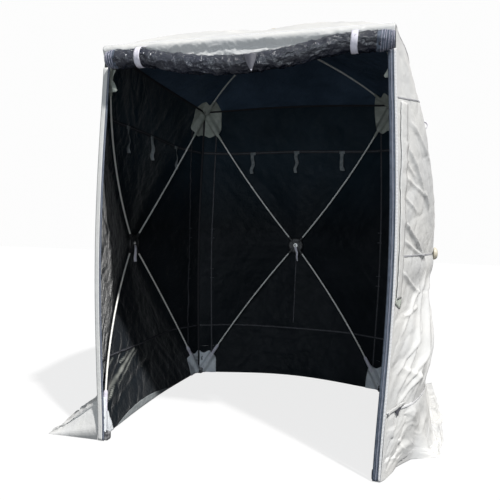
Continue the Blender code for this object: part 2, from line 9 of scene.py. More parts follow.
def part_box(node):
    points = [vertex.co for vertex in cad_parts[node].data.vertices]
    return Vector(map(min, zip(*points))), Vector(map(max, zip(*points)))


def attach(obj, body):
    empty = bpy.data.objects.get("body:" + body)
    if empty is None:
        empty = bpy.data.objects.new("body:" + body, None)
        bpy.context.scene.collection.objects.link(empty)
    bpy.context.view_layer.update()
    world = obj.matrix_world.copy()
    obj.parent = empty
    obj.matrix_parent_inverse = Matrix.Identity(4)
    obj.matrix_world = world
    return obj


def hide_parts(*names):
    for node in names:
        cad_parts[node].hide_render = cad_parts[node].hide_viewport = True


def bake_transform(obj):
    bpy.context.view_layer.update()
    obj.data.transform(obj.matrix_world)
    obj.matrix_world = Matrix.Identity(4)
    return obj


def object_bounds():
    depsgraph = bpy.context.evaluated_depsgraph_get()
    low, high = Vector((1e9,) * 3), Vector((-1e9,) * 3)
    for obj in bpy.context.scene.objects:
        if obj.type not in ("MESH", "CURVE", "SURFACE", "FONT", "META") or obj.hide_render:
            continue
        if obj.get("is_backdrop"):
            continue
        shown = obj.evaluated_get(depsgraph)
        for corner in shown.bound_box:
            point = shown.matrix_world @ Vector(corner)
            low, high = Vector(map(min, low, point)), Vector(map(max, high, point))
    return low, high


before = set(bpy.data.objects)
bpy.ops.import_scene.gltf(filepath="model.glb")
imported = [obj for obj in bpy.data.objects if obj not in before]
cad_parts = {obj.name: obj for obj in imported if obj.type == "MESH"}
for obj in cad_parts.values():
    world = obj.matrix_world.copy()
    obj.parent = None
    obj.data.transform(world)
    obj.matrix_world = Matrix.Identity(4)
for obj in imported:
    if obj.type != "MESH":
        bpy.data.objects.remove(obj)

cad_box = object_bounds()

# Studio: a plain pale floor, a soft high light from the front right, and soft light from all round.
# The camera stands where the photograph was taken from, a little right of the open front.
FRONT_Y = -0.82815
FLOOR_GLOW, GLOSSY_AIR, PLAIN_AIR = 0.81, 0.45, 0.12
FOCAL_LENGTH, SENSOR = 514.1 / 500, 36


def new_material(name, colour, roughness):
    """A material with its colour and roughness set, and its node tree and shader."""
    material = bpy.data.materials.new(name)
    material.use_nodes = True
    shader = material.node_tree.nodes["Principled BSDF"]
    shader.inputs["Base Color"].default_value = (*colour, 1)
    shader.inputs["Roughness"].default_value = roughness
    return material, material.node_tree, shader


def node(tree, kind, **values):
    """A shader node with its properties and input values set."""
    made = tree.nodes.new(kind)
    for key, value in values.items():
        if hasattr(made, key):
            setattr(made, key, value)
        else:
            made.inputs[key.replace("_", " ")].default_value = value
    return made


def add_object(name, data):
    """An object in the scene with its data."""
    made = bpy.data.objects.new(name, data)
    bpy.context.collection.objects.link(made)
    return made


def add_light(name, kind, energy, colour, way):
    """A light that shines from the direction of way."""
    made = add_object(name, bpy.data.lights.new(name, kind))
    made.data.energy = energy
    made.data.color = colour
    made.rotation_mode = "QUATERNION"
    made.rotation_quaternion = Vector(way).to_track_quat("Z", "Y")
    return made


bpy.ops.object.select_all(action="DESELECT")
bpy.ops.mesh.primitive_plane_add(size=40.0, location=(0, 0, -0.0005))
floor = bpy.context.object
floor.name = "studio_floor"
floor_paint, tree, shader = new_material("pale_floor", (0.15, 0.15, 0.153), 0.9)
shader.inputs["Specular IOR Level"].default_value = 0.1
shader.inputs["Emission Color"].default_value = (1.0, 1.0, 1.0, 1)
glow = node(tree, "ShaderNodeMath", operation="MULTIPLY")
glow.inputs[1].default_value = FLOOR_GLOW
tree.links.new(node(tree, "ShaderNodeLightPath").outputs["Is Camera Ray"], glow.inputs[0])
tree.links.new(glow.outputs[0], shader.inputs["Emission Strength"])
floor.data.materials.append(floor_paint)
floor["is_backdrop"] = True

world = bpy.data.worlds.new("studio_air")
bpy.context.scene.world = world
world.use_nodes = True
air = world.node_tree
surround = air.nodes["Background"]
surround.inputs["Color"].default_value = (0.94, 0.97, 1.0, 1)
backdrop = node(air, "ShaderNodeBackground", Color=(1.0, 1.0, 1.0, 1), Strength=0.98)
ray = node(air, "ShaderNodeLightPath")
shine = node(air, "ShaderNodeMath", operation="MULTIPLY_ADD")
shine.inputs[1].default_value = GLOSSY_AIR
shine.inputs[2].default_value = PLAIN_AIR
choose = node(air, "ShaderNodeMixShader")
air.links.new(ray.outputs["Is Glossy Ray"], shine.inputs[0])
air.links.new(shine.outputs[0], surround.inputs["Strength"])
air.links.new(ray.outputs["Is Camera Ray"], choose.inputs["Fac"])
air.links.new(surround.outputs["Background"], choose.inputs[1])
air.links.new(backdrop.outputs["Background"], choose.inputs[2])
air.links.new(choose.outputs["Shader"], air.nodes["World Output"].inputs["Surface"])
bpy.context.scene.view_settings.view_transform = "Standard"

add_light("soft_key", "SUN", 4.6, (1.0, 0.985, 0.96), (1.25, -1.0, 2.25)).data.angle = math.radians(2.5)
fill = add_light("soft_fill", "AREA", 60, (0.84, 0.93, 1.0), (0.45, -4.8, 0.4))
fill.data.size = 2.4
fill.location = (0.45, -4.8, 1.4)

camera = add_object("camera", bpy.data.cameras.new("camera"))
camera.data.sensor_width = SENSOR
camera.data.lens = FOCAL_LENGTH * SENSOR
turn = (Matrix.Rotation(math.radians(15.46), 3, "Z") @ Matrix.Rotation(math.radians(-1.92), 3, "X")
        @ Matrix.Rotation(math.radians(-1.52), 3, "Y"))
camera.matrix_world = Matrix.Translation((0.719, FRONT_Y - 2.316, 1.088)) @ Matrix(
    (turn.col[0], turn.col[2], -turn.col[1])).transposed().to_4x4()
bpy.context.scene.camera = camera

# Walls and roof: coated cloth, white outside and black inside, sewn together along the corners. Each is
# pulled out by its hub, so it stands like a low pyramid whose ridges run over the rods.
HALF = 0.70
TALL = 2.00
CLOTH = 0.0012
WEAVE = 0.00006
HUB_FACE, CAP_SEAT = 0.0125, 0.0275
EAVE, HUB_REACH = 0.070, 0.212


class Panel:
    """One wall or the roof: the plane between its corners, and the cloth that stands out of it.

    rod_pop is how far the rods' inner ends stand out, hem how far the lower edge bows, loose how strong the
    small creases are, and drawn_in how deep the lower part hangs in. Each edge has the way it runs, its end,
    and its bow outward and sideways; each fold its two (x, z) ends, width and height.
    """

    def __init__(self, name, centre, out, up, half_up, rod_pop, edges, seed, folds, hem=0.0, loose=0.5,
                 drawn_in=0.0):
        self.name, self.half_up, self.edges, self.seed, self.folds = name, half_up, edges, seed, folds
        self.centre, self.out, self.up = (np.array(way, float) for way in (centre, out, up))
        self.across = np.cross(self.up, self.out)
        self.rod_pop, self.face, self.pop = rod_pop, rod_pop - HUB_FACE, rod_pop + CAP_SEAT
        self.hem, self.loose, self.drawn_in = hem, loose, drawn_in

    def base(self, u, v):
        """Distances across, up and out of the cloth's inner face, without wrinkles."""
        wide, high = np.abs(u), np.abs(v)
        rounding = 0.10 * np.sqrt(np.clip((1 - u * u) * (1 - v * v), 0, None))
        ring = (wide + high + np.hypot(wide - high, rounding)) / 2
        ring = ring - rounding / 2 * (1 - ring)
        share = np.minimum(wide, high) / np.maximum(np.maximum(wide, high), 0.001)
        out = self.pop * (1 - np.clip(ring, 0, None) ** (1.15 + 0.27 * share))
        across, up = u * HALF, v * self.half_up
        for along, sign, bow_out, bow_side in self.edges:
            near = np.clip(sign * (u if along == "up" else v), 0, None)
            other = v if along == "up" else u
            curve = np.clip(1 - other * other, 0, None) ** 1.6
            out = out + bow_out * curve * near
            if along == "up":
                across = across + sign * bow_side * curve * near * near
            else:
                up = up + sign * bow_side * curve * near * near
        below = np.clip(-v / 0.14, 0, 1)
        slack = np.exp(-((v + 0.22) / 0.16) ** 2) + 0.6 * np.exp(-((v + 0.62) / 0.28) ** 2)
        out = out - self.drawn_in * slack * below * below * (3 - 2 * below) * np.clip(1 - u * u, 0, None)
        return across, up, out

    def cloth(self, x, z, lift=0.0):
        """Points on the cloth at x and z, in metres from the panel's middle, moved out by lift."""
        x, z = np.asarray(x, float), np.asarray(z, float)
        u, v = np.clip(x / HALF, -1, 1), np.clip(z / self.half_up, -1, 1)
        across, up, out = self.base(u, v)
        out = out + 0.0014 + self.wrinkles(u, v) + lift
        return (self.centre + across[..., None] * self.across + up[..., None] * self.up
                + out[..., None] * self.out)

    def wrinkles(self, u, v):
        """How far folds, pulls and crumples move the cloth out."""
        x, z = u * HALF, v * self.half_up
        calm = np.clip((1 - np.abs(u)) / 0.07, 0, 1) * np.clip((1 - np.abs(v)) / 0.05, 0, 1)
        hub = np.clip(np.hypot(x, z) / 0.16 - 0.45, 0, 1)
        total = np.zeros_like(x)
        for sign in (-1, 1):
            slant = math.atan2(self.half_up, HALF) * sign
            along = x * math.cos(slant) + z * math.sin(slant)
            aside = -x * math.sin(slant) + z * math.cos(slant)
            own = np.clip(0.5 + sign * u * v * 3, 0, 1)
            total += own * 0.0022 * ripple(along, aside, 0.30, 0.035, self.seed + sign)
            total += own * 0.0026 * ripple(along, aside, 0.50, 0.085, self.seed + 7 + sign)
            total -= own * 0.0040 * self.loose * crease(along, aside, 0.16, 0.050, self.seed + 3 + sign)
        total -= 0.0034 * crease(x, z, 0.17, 0.12, self.seed + 11)
        total += 0.0012 * ripple(x, z, 0.042, 0.042, self.seed + 12)
        total -= 0.0012 * crease(x, z, 0.035, 0.050, self.seed + 13)
        for x0, z0, x1, z1, width, height in self.folds:
            length = math.hypot(x1 - x0, z1 - z0)
            ax, az = (x1 - x0) / length, (z1 - z0) / length
            t = ((x - x0) * ax + (z - z0) * az) / length
            wander = 0.45 * width * ripple(t * length, t * 0, 0.12, 1.0, self.seed + int(height * 1e5) % 97)
            d = (-(x - x0) * az + (z - z0) * ax + wander) / width
            body = np.clip(t / 0.18, 0, 1) * np.clip((1 - t) / 0.22, 0, 1)
            steep = np.where(d > 0, np.exp(-(d * 1.9) ** 2), np.exp(-(d * 0.8) ** 2))
            total += height * steep * body * body * (3 - 2 * body)
        return total * calm * hub


def crease(x, y, cell_x, cell_y, seed):
    """Sharp creases between soft hills, from 0 to 1, where a smooth field passes through nought."""
    bend = 0.4 * cell_x * ripple(x, y, cell_x * 1.7, cell_y * 1.7, seed + 51)
    field = ripple(x + bend, y + bend, cell_x, cell_y, seed)
    return np.clip(1 - np.abs(field) * 2.6, 0, 1) ** 1.5


def ripple(x, y, cell_x, cell_y, seed):
    """Smooth random hills and hollows from -1 to 1, of one cell's size each way."""
    hills = np.random.RandomState(seed % 9973 + 17).uniform(-1, 1, (64, 64))
    gx, gy = x / cell_x + 31.7, y / cell_y + 29.3
    ix, iy = np.floor(gx).astype(int), np.floor(gy).astype(int)
    fx, fy = gx - ix, gy - iy
    fx, fy = fx * fx * (3 - 2 * fx), fy * fy * (3 - 2 * fy)
    corner = lambda i, j: hills[(ix + i) % 64, (iy + j) % 64]
    return ((corner(0, 0) * (1 - fx) + corner(1, 0) * fx) * (1 - fy)
            + (corner(0, 1) * (1 - fx) + corner(1, 1) * fx) * fy)


def wall_edges(hem, sides):
    """A wall's edges: which way each runs, its end, and how far it bows out and sideways."""
    return [("across", -1, hem, 0.0), ("across", 1, EAVE, 0.035)] + [("up", s, 0.035, b) for s, b in sides]


MIDDLE_Y = FRONT_Y + HALF
BACK_Y = FRONT_Y + 2 * HALF
PANELS = {
    "left": Panel("left", (-HALF, MIDDLE_Y, 1), (-1, 0, 0), (0, 0, 1), 1.0, 0.2045,
                  wall_edges(0.030, [(-1, 0.035), (1, 0.0)]), 101,
                  [(0.63, -0.90, 0.60, -0.62, 0.012, 0.010), (0.62, -0.90, 0.50, -0.62, 0.014, 0.012),
                   (0.62, -0.90, 0.38, -0.62, 0.016, 0.014), (0.60, -0.92, 0.22, -0.62, 0.018, 0.010),
                   (0.60, -0.10, 0.20, -0.45, 0.020, 0.006), (0.66, 0.25, 0.30, -0.05, 0.018, -0.005),
                   (0.66, -0.56, 0.30, -0.30, 0.016, 0.006), (0.66, -0.20, 0.42, -0.10, 0.014, 0.005),
                   (0.58, -0.94, -0.10, -0.72, 0.024, 0.008), (0.64, 0.62, 0.25, 0.35, 0.020, 0.004)],
                  hem=0.030, loose=1.0),
    "back": Panel("back", (0, BACK_Y, 1), (0, 1, 0), (0, 0, 1), 1.0, 0.2045,
                  wall_edges(0.150, [(-1, 0.035), (1, 0.035)]), 211,
                  [(-0.60, -0.55, 0.10, -0.78, 0.025, 0.005), (0.60, -0.50, -0.05, -0.72, 0.028, 0.005),
                   (0.55, 0.72, 0.10, 0.30, 0.022, 0.005), (-0.55, 0.70, -0.12, 0.25, 0.022, 0.005)],
                  hem=0.150),
    "right": Panel("right", (HALF, MIDDLE_Y, 1), (1, 0, 0), (0, 0, 1), 1.0, 0.2045,
                   wall_edges(0.230, [(-1, 0.0), (1, 0.035)]), 307,
                   [(-0.20, -0.05, -0.63, -0.66, 0.013, 0.013), (-0.09, -0.06, -0.54, -0.69, 0.017, 0.018),
                    (0.00, -0.13, -0.38, -0.69, 0.016, 0.017), (0.07, -0.20, -0.18, -0.69, 0.020, 0.016),
                    (-0.30, -0.14, -0.62, -0.38, 0.010, 0.011), (-0.34, -0.33, -0.64, -0.55, 0.009, 0.010),
                    (-0.20, -0.36, -0.58, -0.62, 0.011, 0.011), (-0.44, -0.56, -0.60, -0.69, 0.008, 0.010),
                    (-0.14, -0.24, -0.40, -0.50, 0.009, 0.009), (-0.56, -0.28, -0.36, -0.24, 0.008, 0.010),
                    (-0.64, 0.52, -0.26, 0.20, 0.010, 0.015), (-0.64, 0.17, -0.24, -0.03, 0.011, 0.017),
                    (-0.62, 0.08, -0.26, -0.02, 0.009, 0.010), (-0.58, 0.62, -0.30, 0.44, 0.012, 0.009),
                    (-0.62, -0.06, -0.30, -0.20, 0.009, 0.010), (-0.62, 0.36, -0.34, 0.28, 0.008, 0.008),
                    (-0.63, 0.28, -0.46, 0.20, 0.007, 0.007), (-0.64, 0.44, -0.50, 0.36, 0.007, 0.007),
                    (-0.60, -0.50, -0.34, -0.62, 0.014, 0.008),
                    (0.20, -0.15, 0.40, -0.69, 0.036, 0.014), (0.45, 0.60, 0.12, 0.25, 0.030, 0.009),
                    (0.10, 0.05, 0.60, 0.10, 0.020, 0.008)],
                   hem=0.230, loose=0.7, drawn_in=0.050),
    "roof": Panel("roof", (0, MIDDLE_Y, TALL), (0, 0, 1), (0, 1, 0), HALF, 0.244,
                  [("up", -1, 0.035, 0.070), ("up", 1, 0.035, 0.070), ("across", 1, 0.035, 0.070)], 401,
                  [(0.60, -0.30, 0.20, -0.10, 0.025, 0.006), (-0.60, 0.20, -0.15, 0.05, 0.025, 0.006),
                   (0.10, 0.60, 0.02, 0.20, 0.022, 0.006), (-0.25, -0.62, -0.10, -0.22, 0.022, 0.005)]),
}
WALLS = ("left", "back", "right")
BODIES = {name: name + "_hub_body" for name in PANELS}


def follow(piece, panel, lift=0.0, tilt=0.0, at=0.0, near=None, far=None):
    """Bakes a piece's place into its mesh; where it would bend with its hub, still at the sewn edges and all
    the way at the hub, is worked out but not made.

    lift is how far it lies outside the cloth's middle, so that layers keep their order when the cloth turns
    in; pieces with a mesh of their own give 1.5 mm more than they have, so that none shows through the cloth.
    """
    centre, out = Vector(panel.centre), Vector(panel.out)
    centre = centre + out * lift
    rise = Vector(panel.up)
    if panel.name == "roof" and near is None:
        near, far = 0.036, 0.2515
    if near is not None:
        start, gain, slope = centre + out * near, 1 / (far - near), 0.0
    else:
        gain = 1 / (HUB_REACH - (panel.hem + EAVE) / 2)
        slope = gain * (panel.hem - EAVE) / 2
        start = centre + out * ((gain * panel.hem - slope) / gain)
        if tilt:
            start = centre + rise * (at - 1.0) + out * ((gain * panel.hem - slope * at) / gain)
            slope += tilt
    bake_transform(piece)


def select_only(*pieces):
    """Selects pieces, the first of them as the active one, and nothing else."""
    bpy.ops.object.select_all(action="DESELECT")
    for piece in pieces:
        piece.select_set(True)
    bpy.context.view_layer.objects.active = pieces[0]


def apply_all(made):
    """Applies every modifier of a piece, in order."""
    select_only(made)
    for modifier in list(made.modifiers):
        bpy.ops.object.modifier_apply(modifier=modifier.name)
    made.select_set(False)
    return made


def thicken(made, thickness):
    """Gives an open sheet its thickness, half to each side."""
    shell = made.modifiers.new("thickness", "SOLIDIFY")
    shell.thickness = thickness
    shell.offset = 0.0
    return apply_all(made)


def grid_object(name, points, u, v, thickness=None):
    """A sheet from a (rows, columns, 3) array of points, with each one's place u, v on the flat cloth."""
    rows, columns = points.shape[:2]
    faces = [(r * columns + c, r * columns + c + 1, (r + 1) * columns + c + 1, (r + 1) * columns + c)
             for r in range(rows - 1) for c in range(columns - 1)]
    mesh = bpy.data.meshes.new(name)
    mesh.from_pydata([tuple(point) for point in points.reshape(-1, 3)], [], faces)
    layer = mesh.uv_layers.new(name="cloth")
    loops = np.zeros(len(mesh.loops), int)
    mesh.loops.foreach_get("vertex_index", loops)
    flat = np.stack(np.broadcast_arrays(u, v), -1).reshape(-1, 2)
    layer.data.foreach_set("uv", flat[loops].astype(np.float32).ravel())
    made = add_object(name, mesh)
    mesh.polygons.foreach_set("use_smooth", [True] * len(mesh.polygons))
    return thicken(made, thickness) if thickness else made


def paint(made, *materials):
    """Gives a piece its materials."""
    made.data.materials.clear()
    for material in materials:
        made.data.materials.append(material)
    return made


def noise(tree, coordinate, scale, detail=4.0, stretch=None):
    """A noise texture on a coordinate, stretched where asked."""
    if stretch:
        mapping = node(tree, "ShaderNodeMapping")
        mapping.inputs["Scale"].default_value = stretch
        tree.links.new(coordinate, mapping.inputs["Vector"])
        coordinate = mapping.outputs["Vector"]
    made = node(tree, "ShaderNodeTexNoise", Scale=scale, Detail=detail)
    tree.links.new(coordinate, made.inputs["Vector"])
    return made.outputs["Fac"]


def ramp(tree, factor, stops):
    """A colour ramp over a factor."""
    made = node(tree, "ShaderNodeValToRGB")
    made.color_ramp.elements[0].position = stops[0][0]
    made.color_ramp.elements[0].color = (*stops[0][1], 1)
    made.color_ramp.elements[1].position = stops[-1][0]
    made.color_ramp.elements[1].color = (*stops[-1][1], 1)
    for position, colour in stops[1:-1]:
        made.color_ramp.elements.new(position).color = (*colour, 1)
    tree.links.new(factor, made.inputs["Fac"])
    return made.outputs["Color"]


def bump(tree, shader, layers):
    """Bump layers, each a height output and its depth in metres, one on the other."""
    last = None
    for height, depth in layers:
        made = node(tree, "ShaderNodeBump", Strength=1.0, Distance=depth)
        tree.links.new(height, made.inputs["Height"])
        if last:
            tree.links.new(last, made.inputs["Normal"])
        last = made.outputs["Normal"]
    tree.links.new(last, shader.inputs["Normal"])


def bands(tree, coordinate, spacing, direction="X"):
    """Even bands along a coordinate, one every spacing metres."""
    made = node(tree, "ShaderNodeTexWave", bands_direction=direction, Scale=math.tau / 20 / spacing)
    tree.links.new(coordinate, made.inputs["Vector"])
    return made.outputs["Fac"]


def patterned(name, colour, roughness, tone, stops, layers=()):
    """A material coloured by a pattern's stops, with bump layers of (pattern, depth in metres)."""
    material, tree, shader = new_material(name, colour, roughness)
    place = node(tree, "ShaderNodeTexCoord")

    def field(kind, *values):
        if kind == "bands":
            return bands(tree, place.outputs["UV"], *values)
        return noise(tree, place.outputs["Object"], *values)

    tree.links.new(ramp(tree, field(*tone), stops), shader.inputs["Base Color"])
    if layers:
        bump(tree, shader, [(field(*pattern), depth) for pattern, depth in layers])
    return material


def cloth_material(name, light, dark, roughness, crumple, gloss=0.5):
    """Coated cloth: fine cross weave, small crumples and cloudy colour."""
    material, tree, shader = new_material(name, light, roughness)
    shader.inputs["Specular IOR Level"].default_value = gloss
    place = node(tree, "ShaderNodeTexCoord")
    solid, flat = place.outputs["Object"], place.outputs["UV"]
    colour = ramp(tree, noise(tree, solid, 5.0, 5.0), [(0.35, dark), (0.62, light)])
    tree.links.new(colour, shader.inputs["Base Color"])
    sheen = ramp(tree, noise(tree, solid, 26.0, 3.0),
                 [(0.3, (roughness - 0.08,) * 3), (0.7, (roughness + 0.10,) * 3)])
    tree.links.new(sheen, shader.inputs["Roughness"])
    bump(tree, shader, [(noise(tree, solid, 22.0, 5.0), crumple),
                        (noise(tree, solid, 75.0, 4.0), crumple * 0.3),
                        (bands(tree, flat, 0.0016, "X"), WEAVE), (bands(tree, flat, 0.0016, "Y"), WEAVE)])
    return material


def mix_over(material, blend, share, colour):
    """Mixes a colour, or a colour output, into a material's base colour by a share."""
    tree = material.node_tree
    base = tree.nodes["Principled BSDF"].inputs["Base Color"]
    mix = node(tree, "ShaderNodeMixRGB", blend_type=blend)
    for value, end in ((share, mix.inputs["Fac"]), (colour, mix.inputs["Color2"]),
                       (base.links[0].from_socket, mix.inputs["Color1"])):
        if isinstance(value, bpy.types.NodeSocket):
            tree.links.new(value, end)
        else:
            end.default_value = value
    tree.links.new(mix.outputs["Color"], base)


white_cloth = cloth_material("white_coated_cloth", (0.68, 0.675, 0.66), (0.61, 0.612, 0.612),
                             0.36, 0.0028, 0.20)
black_cloth = cloth_material("black_coated_cloth", (0.026, 0.032, 0.040), (0.016, 0.022, 0.028),
                             0.42, 0.0070, 0.06)
tree = black_cloth.node_tree
tree.nodes["Principled BSDF"].inputs["Sheen Weight"].default_value = 0.30
tree.nodes["Principled BSDF"].inputs["Sheen Roughness"].default_value = 0.35
# Painted highlights: a light grey is mixed into the black coating where folds are marked as catching the
# light.
fold_highlight_paint = node(tree, "ShaderNodeAttribute", attribute_name="rubbed")
mix_over(black_cloth, "MIX", fold_highlight_paint.outputs["Fac"], (0.52, 0.54, 0.50, 1))
# Painted shade and haze: the black coating's colour is scaled by height, to half low down, darkest a little
# above the middle, and lighter and bluish near the roof, for the bluish glare under the roof.
high = node(tree, "ShaderNodeSeparateXYZ")
tree.links.new(node(tree, "ShaderNodeTexCoord").outputs["Object"], high.inputs[0])
painted_shade_by_height = node(tree, "ShaderNodeMath", operation="MULTIPLY")
painted_shade_by_height.inputs[1].default_value = 1 / TALL
tree.links.new(high.outputs["Z"], painted_shade_by_height.inputs[0])
mix_over(black_cloth, "MULTIPLY", 1.0, ramp(tree, painted_shade_by_height.outputs[0], [
    (0.42, (0.5, 0.5, 0.5)), (0.56, (0.34, 0.35, 0.36)), (0.85, (0.62, 0.88, 1.0))]))
# Painted light: the roof's black lining is painted a lighter navy, for the bluish haze under the roof.
roof_lining_painted_haze = cloth_material("navy_black_roof_lining", (0.070, 0.108, 0.165), (0.048, 0.076, 0.118),
                             0.45, 0.0070, 0.06)


def paint_indexed(made, *materials):
    """Gives a piece its materials and keeps its faces' indices."""
    indices = np.zeros(len(made.data.polygons), int)
    made.data.polygons.foreach_get("material_index", indices)
    paint(made, *materials)
    made.data.polygons.foreach_set("material_index", indices)
    return made


def paint_fold_highlights(made, panel, strokes):
    """Paints highlights on the black coating along folds that catch the light: each stroke runs between two
    (x, z) points.
    """
    places = np.zeros(len(made.data.vertices) * 3)
    made.data.vertices.foreach_get("co", places)
    flat = (places.reshape(-1, 3) - panel.centre) @ np.stack([panel.across, panel.up], -1)
    highlight_share = np.zeros(len(flat))
    for x0, z0, x1, z1, width in strokes:
        start, way = np.array((x0, z0)), np.array((x1 - x0, z1 - z0))
        t = np.clip((flat - start) @ way / (way @ way), 0, 1)
        off = flat - start - t[:, None] * way
        taper = 0.35 + 0.65 * np.sin(math.pi * (0.1 + 0.8 * t))
        across_fold = np.hypot(off[:, 0], off[:, 1]) / (width * taper)
        patchy = 0.75 + 0.45 * ripple(flat[:, 0], flat[:, 1], 0.030, 0.030, int(width * 9e4))
        highlight_share = np.maximum(highlight_share, np.exp(-across_fold ** 4) * patchy)
    layer = made.data.attributes.new("rubbed", "FLOAT", "POINT")
    layer.data.foreach_set("value", np.clip(highlight_share, 0, 1).astype(np.float32))


GRIDS = {"left": (150, 290, 0.38, 0.10), "back": (110, 156, 0.5, 0.0), "right": (160, 296, 0.62, -0.10),
         "roof": (110, 110, 0.5, 0.0)}
SHEETS, LININGS = {}, {}
for name, panel in PANELS.items():
    columns, rows, turn_at, turn_x = GRIDS[name]
    bottom = 0.003 if name != "roof" else 0.0
    x, z = np.meshgrid(np.interp(np.linspace(0, 1, columns + 1), [0, turn_at, 1], [-HALF, turn_x, HALF]),
                       np.linspace(-panel.half_up + bottom, panel.half_up, rows + 1))
    word = "roof" if name == "roof" else name + "_wall"
    sheet = grid_object(word + "_cloth", panel.cloth(x, z, CLOTH / 2), x, z)
    lining = grid_object(word + "_lining", panel.cloth(x, z, -CLOTH / 2), x, z)
    (lining if sheet.data.polygons[0].normal @ Vector(panel.out) > 0 else sheet).data.flip_normals()
    paint(sheet, white_cloth)
    paint(lining, roof_lining_painted_haze if name == "roof" else black_cloth)
    if name == "left":
        # Painted highlights along the left lining's low folds near the front, where the light catches them.
        paint_fold_highlights(lining, panel, [(0.60, -0.86, 0.12, -0.655, 0.011), (0.62, -0.78, 0.37, -0.66, 0.006),
                            (0.38, -0.81, 0.10, -0.668, 0.005), (0.08, -0.78, 0.00, -0.73, 0.004),
                            (0.64, -0.70, 0.60, -0.655, 0.004), (0.30, -0.70, 0.20, -0.66, 0.005),
                            (0.52, -0.86, 0.42, -0.80, 0.004)])
    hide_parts("roof_panel" if name == "roof" else name + "_wall")
    follow(sheet, panel, lift=CLOTH / 2)
    follow(lining, panel, lift=-CLOTH / 2)
    SHEETS[name], LININGS[name] = sheet, lining

# Rods: off-white glass-fibre, 11 mm thick, four to a panel. Each is pushed into its hub's socket and
# ends in the pocket of a corner patch or in a foot; the cloth keeps it bent.
ROD = 0.0055


def rod_line(panel, side, end, share):
    """A rod's centre line, from the hub at share 0 to its corner at share 1."""
    share = np.asarray(share, float)[..., None]
    bow = 4 * share * (1 - share)
    sideways = {"left": 0.060, "back": 0.035, "right": 0.060, "roof": 0.028}[panel.name]
    inset, tip = (0.045 if end > 0 else 0.022), 0.014
    if panel.name == "roof":
        inset, tip = 0.033, 0.022
    across = side * ((HALF - 0.033) * share + sideways * bow)
    up = end * (panel.half_up - inset) * share
    out = panel.rod_pop * (1 - share) - tip * share + 0.021 * bow
    return panel.centre + across * panel.across + up * panel.up + out * panel.out


def tube_along(name, points, radius, sides=12, radii=None):
    """A capped round tube along points, made as a curve and turned into a mesh."""
    curve = bpy.data.curves.new(name, "CURVE")
    curve.dimensions = "3D"
    curve.bevel_depth = radius
    curve.bevel_resolution = max(0, sides // 4 - 1)
    curve.use_fill_caps = True
    line = curve.splines.new("POLY")
    line.points.add(len(points) - 1)
    for knot, point in zip(line.points, points):
        knot.co = (*point, 1.0)
    if radii is not None:
        line.points.foreach_set("radius", radii)
    select_only(add_object(name, curve))
    bpy.ops.object.convert(target="MESH")
    made = bpy.context.object
    made.select_set(False)
    made.data.polygons.foreach_set("use_smooth", [True] * len(made.data.polygons))
    return made


fibreglass = patterned("off_white_fibreglass", (0.84, 0.84, 0.81), 0.34, ("noise", 18.0, 5.0),
                       [(0.3, (0.74, 0.74, 0.71)), (0.7, (0.87, 0.87, 0.84))],
                       [(("noise", 300.0, 3.0, (1, 1, 0.08)), 0.0003)])


def rod_node(panel, side, end):
    """The CAD name of a rod."""
    point = rod_line(panel, side, end, [1.0])[0]
    left_right = "left" if point[0] < 0 else "right"
    front_back = "front" if point[1] < MIDDLE_Y else "back"
    high_low = "upper" if end > 0 else "lower"
    if panel.name == "roof":
        return f"roof_rod_{front_back}_{left_right}"
    if panel.name == "back":
        return f"back_rod_{high_low}_{left_right}"
    return f"{panel.name}_rod_{high_low}_{front_back}"


for panel in PANELS.values():
    for side in (-1, 1):
        for end in (-1, 1):
            cad = rod_node(panel, side, end)
            rod = tube_along(cad + "_bar", rod_line(panel, side, end, np.linspace(0.03, 1.0, 60)), ROD, 16)
            paint(rod, fibreglass)
            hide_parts(cad)
            follow(rod, panel, near=0.0, far=panel.rod_pop - 0.0145)

# Hubs: black moulded discs with a socket for each rod, a bolt with washer and domed nut through the middle,
# and a wide cap outside that clamps the cloth. Each slides along its panel's middle line.
black_plastic = patterned("black_moulded_plastic", (0.022, 0.022, 0.024), 0.42, ("noise", 30.0, 4.0),
                          [(0.35, (0.016, 0.016, 0.018)), (0.7, (0.035, 0.035, 0.038))],
                          [(("noise", 900.0, 2.0), 0.0004)])
zinc = patterned("zinc_plated_steel", (0.58, 0.58, 0.57), 0.38, ("noise", 120.0, 4.0),
                 [(0.3, (0.45, 0.45, 0.45)), (0.7, (0.68, 0.68, 0.66))])
zinc.node_tree.nodes["Principled BSDF"].inputs["Metallic"].default_value = 0.85
beige_plastic = patterned("beige_hub_cap", (0.60, 0.55, 0.44), 0.5, ("noise", 40.0, 4.0),
                          [(0.3, (0.52, 0.47, 0.37)), (0.7, (0.64, 0.60, 0.50))],
                          [(("noise", 700.0, 2.0), 0.0003)])


def turned(name, profile, panel, steps=40):
    """A piece turned on a panel's middle line from (radius, distance out) pairs."""
    mesh = bpy.data.meshes.new(name)
    mesh.from_pydata([(r, 0, z) for r, z in profile], [(i, i + 1) for i in range(len(profile) - 1)], [])
    made = add_object(name, mesh)
    spin = made.modifiers.new("spin", "SCREW")
    spin.steps = spin.render_steps = steps
    spin.use_merge_vertices = True
    spin.merge_threshold = 0.00005
    apply_all(made)
    work = bmesh.new()
    work.from_mesh(made.data)
    bmesh.ops.remove_doubles(work, verts=work.verts, dist=0.00002)
    bmesh.ops.recalc_face_normals(work, faces=work.faces)
    work.to_mesh(made.data)
    work.free()
    made.data.transform(Matrix.Translation(Vector(panel.centre)) @ Matrix(
        [Vector(a) for a in (panel.across, panel.up, panel.out)]).transposed().to_4x4())
    finish_smooth(made)
    return made


def finish_smooth(made):
    """Smooth shading that keeps the hard edges."""
    select_only(made)
    bpy.ops.object.shade_smooth_by_angle(angle=math.radians(35.0))
    made.select_set(False)


